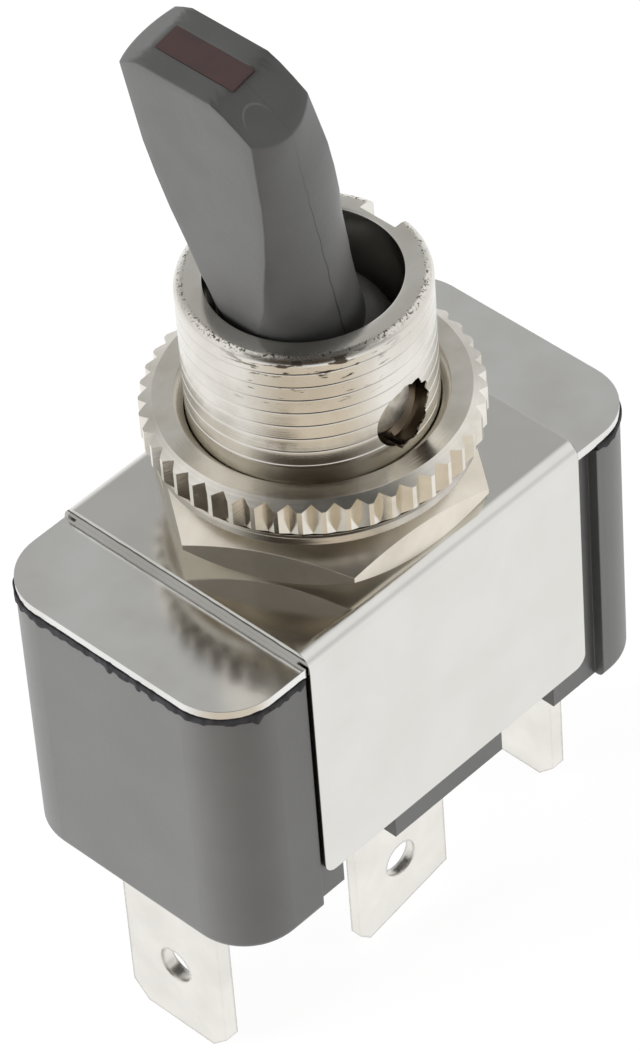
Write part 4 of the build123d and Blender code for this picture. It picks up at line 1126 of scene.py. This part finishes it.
through = {0: shiny, 1: rays["Is Transmission Ray"]}
clear = add(tree, "ShaderNodeMath", through, operation="MAXIMUM").outputs[0]
mixed = add(tree, "ShaderNodeMixShader", {0: clear, 1: paint.outputs[0], 2: glow.outputs[0]})
tree.links.new(mixed.outputs[0], tree.nodes["Material Output"].inputs["Surface"])
floor_z = cad_low.z
floor_mesh = bpy.data.meshes.new("floor")
reach = 3.0
corner_signs = ((-1, -1), (1, -1), (1, 1), (-1, 1))
floor_corners = [(x * reach, y * reach, floor_z) for x, y in corner_signs]
floor_mesh.from_pydata(floor_corners, [], [(0, 1, 2, 3)])
floor = put_in_scene("floor", floor_mesh)
floor.data.materials.append(floor_paint)

# A plain studio: white to the eye and along the horizon, mid grey overhead, and dim
# on the side that the switch is looked at from, as a room behind a lens is.
world = bpy.data.worlds.new("studio")
bpy.context.scene.world = world
world.use_nodes = True
tree = world.node_tree
background = tree.nodes["Background"]
rays = add(tree, "ShaderNodeLightPath").outputs
toward = add(tree, "ShaderNodeTexCoord").outputs["Generated"]
rise = add(tree, "ShaderNodeSeparateXYZ", {0: toward}).outputs[2]
overhead = add(tree, "ShaderNodeMapRange", {"Value": rise, "From Min": 0.12, "From Max": 0.5}).outputs[0]
dome = {0: overhead, 6: srgb("F4F4F6"), 7: srgb("BBBBBA")}
sky = add(tree, "ShaderNodeMix", dome, data_type="RGBA").outputs[2]
zenith = add(tree, "ShaderNodeMapRange", {"Value": rise, "From Min": 0.85, "From Max": 0.96}).outputs[0]
sky = add(tree, "ShaderNodeMix", {0: zenith, 6: sky, 7: srgb("565655")}, data_type="RGBA").outputs[2]
for window in ((-0.52, 0.5, 0.69), (0.75, -0.35, 0.56)):
    facing = add(tree, "ShaderNodeVectorMath", {0: toward, 1: window}, operation="DOT_PRODUCT")
    spread = {"Value": facing.outputs["Value"], "From Min": 0.8, "From Max": 0.92}
    share = add(tree, "ShaderNodeMapRange", spread)
    panes = {0: share.outputs[0], 6: sky, 7: srgb("FFFFFF")}
    sky = add(tree, "ShaderNodeMix", panes, data_type="RGBA").outputs[2]
viewer = add(tree, "ShaderNodeVectorMath", {0: toward, 1: (-0.56, -0.45, 0.696)}, operation="DOT_PRODUCT")
behind_lens = {"Value": viewer.outputs["Value"], "From Min": 0.74, "From Max": 0.92}
dim = add(tree, "ShaderNodeMapRange", behind_lens)
dark_side = {0: dim.outputs[0], 6: sky, 7: srgb("453D34")}
room = add(tree, "ShaderNodeMix", dark_side, data_type="RGBA").outputs[2]
seen = add(tree, "ShaderNodeMix", {0: rays["Is Camera Ray"], 6: room, 7: srgb("FFFFFF")}, data_type="RGBA")
tree.links.new(seen.outputs[2], background.inputs["Color"])
background.inputs["Strength"].default_value = 1.0


def softbox(name, place, size, power):
    """A square area light that faces the switch."""
    lamp = bpy.data.lights.new(name, "AREA")
    lamp.shape = "SQUARE"
    lamp.size = size
    lamp.energy = power
    made = put_in_scene(name, lamp)
    made.location = place
    toward_switch = Vector((0.0, 0.0, -0.005)) - Vector(place)
    made.rotation_euler = toward_switch.to_track_quat("-Z", "Y").to_euler()
    made.visible_glossy = False  # the metal mirrors the studio and not the lamps


softbox("key_softbox", (-0.55, 0.28, 0.16), 0.4, 5.6)
softbox("fill_softbox", (0.42, -0.52, 0.16), 0.4, 2.1)
softbox("top_softbox", (-0.22, -0.02, 0.75), 0.25, 0.6)

bpy.context.scene.view_settings.view_transform = "Standard"
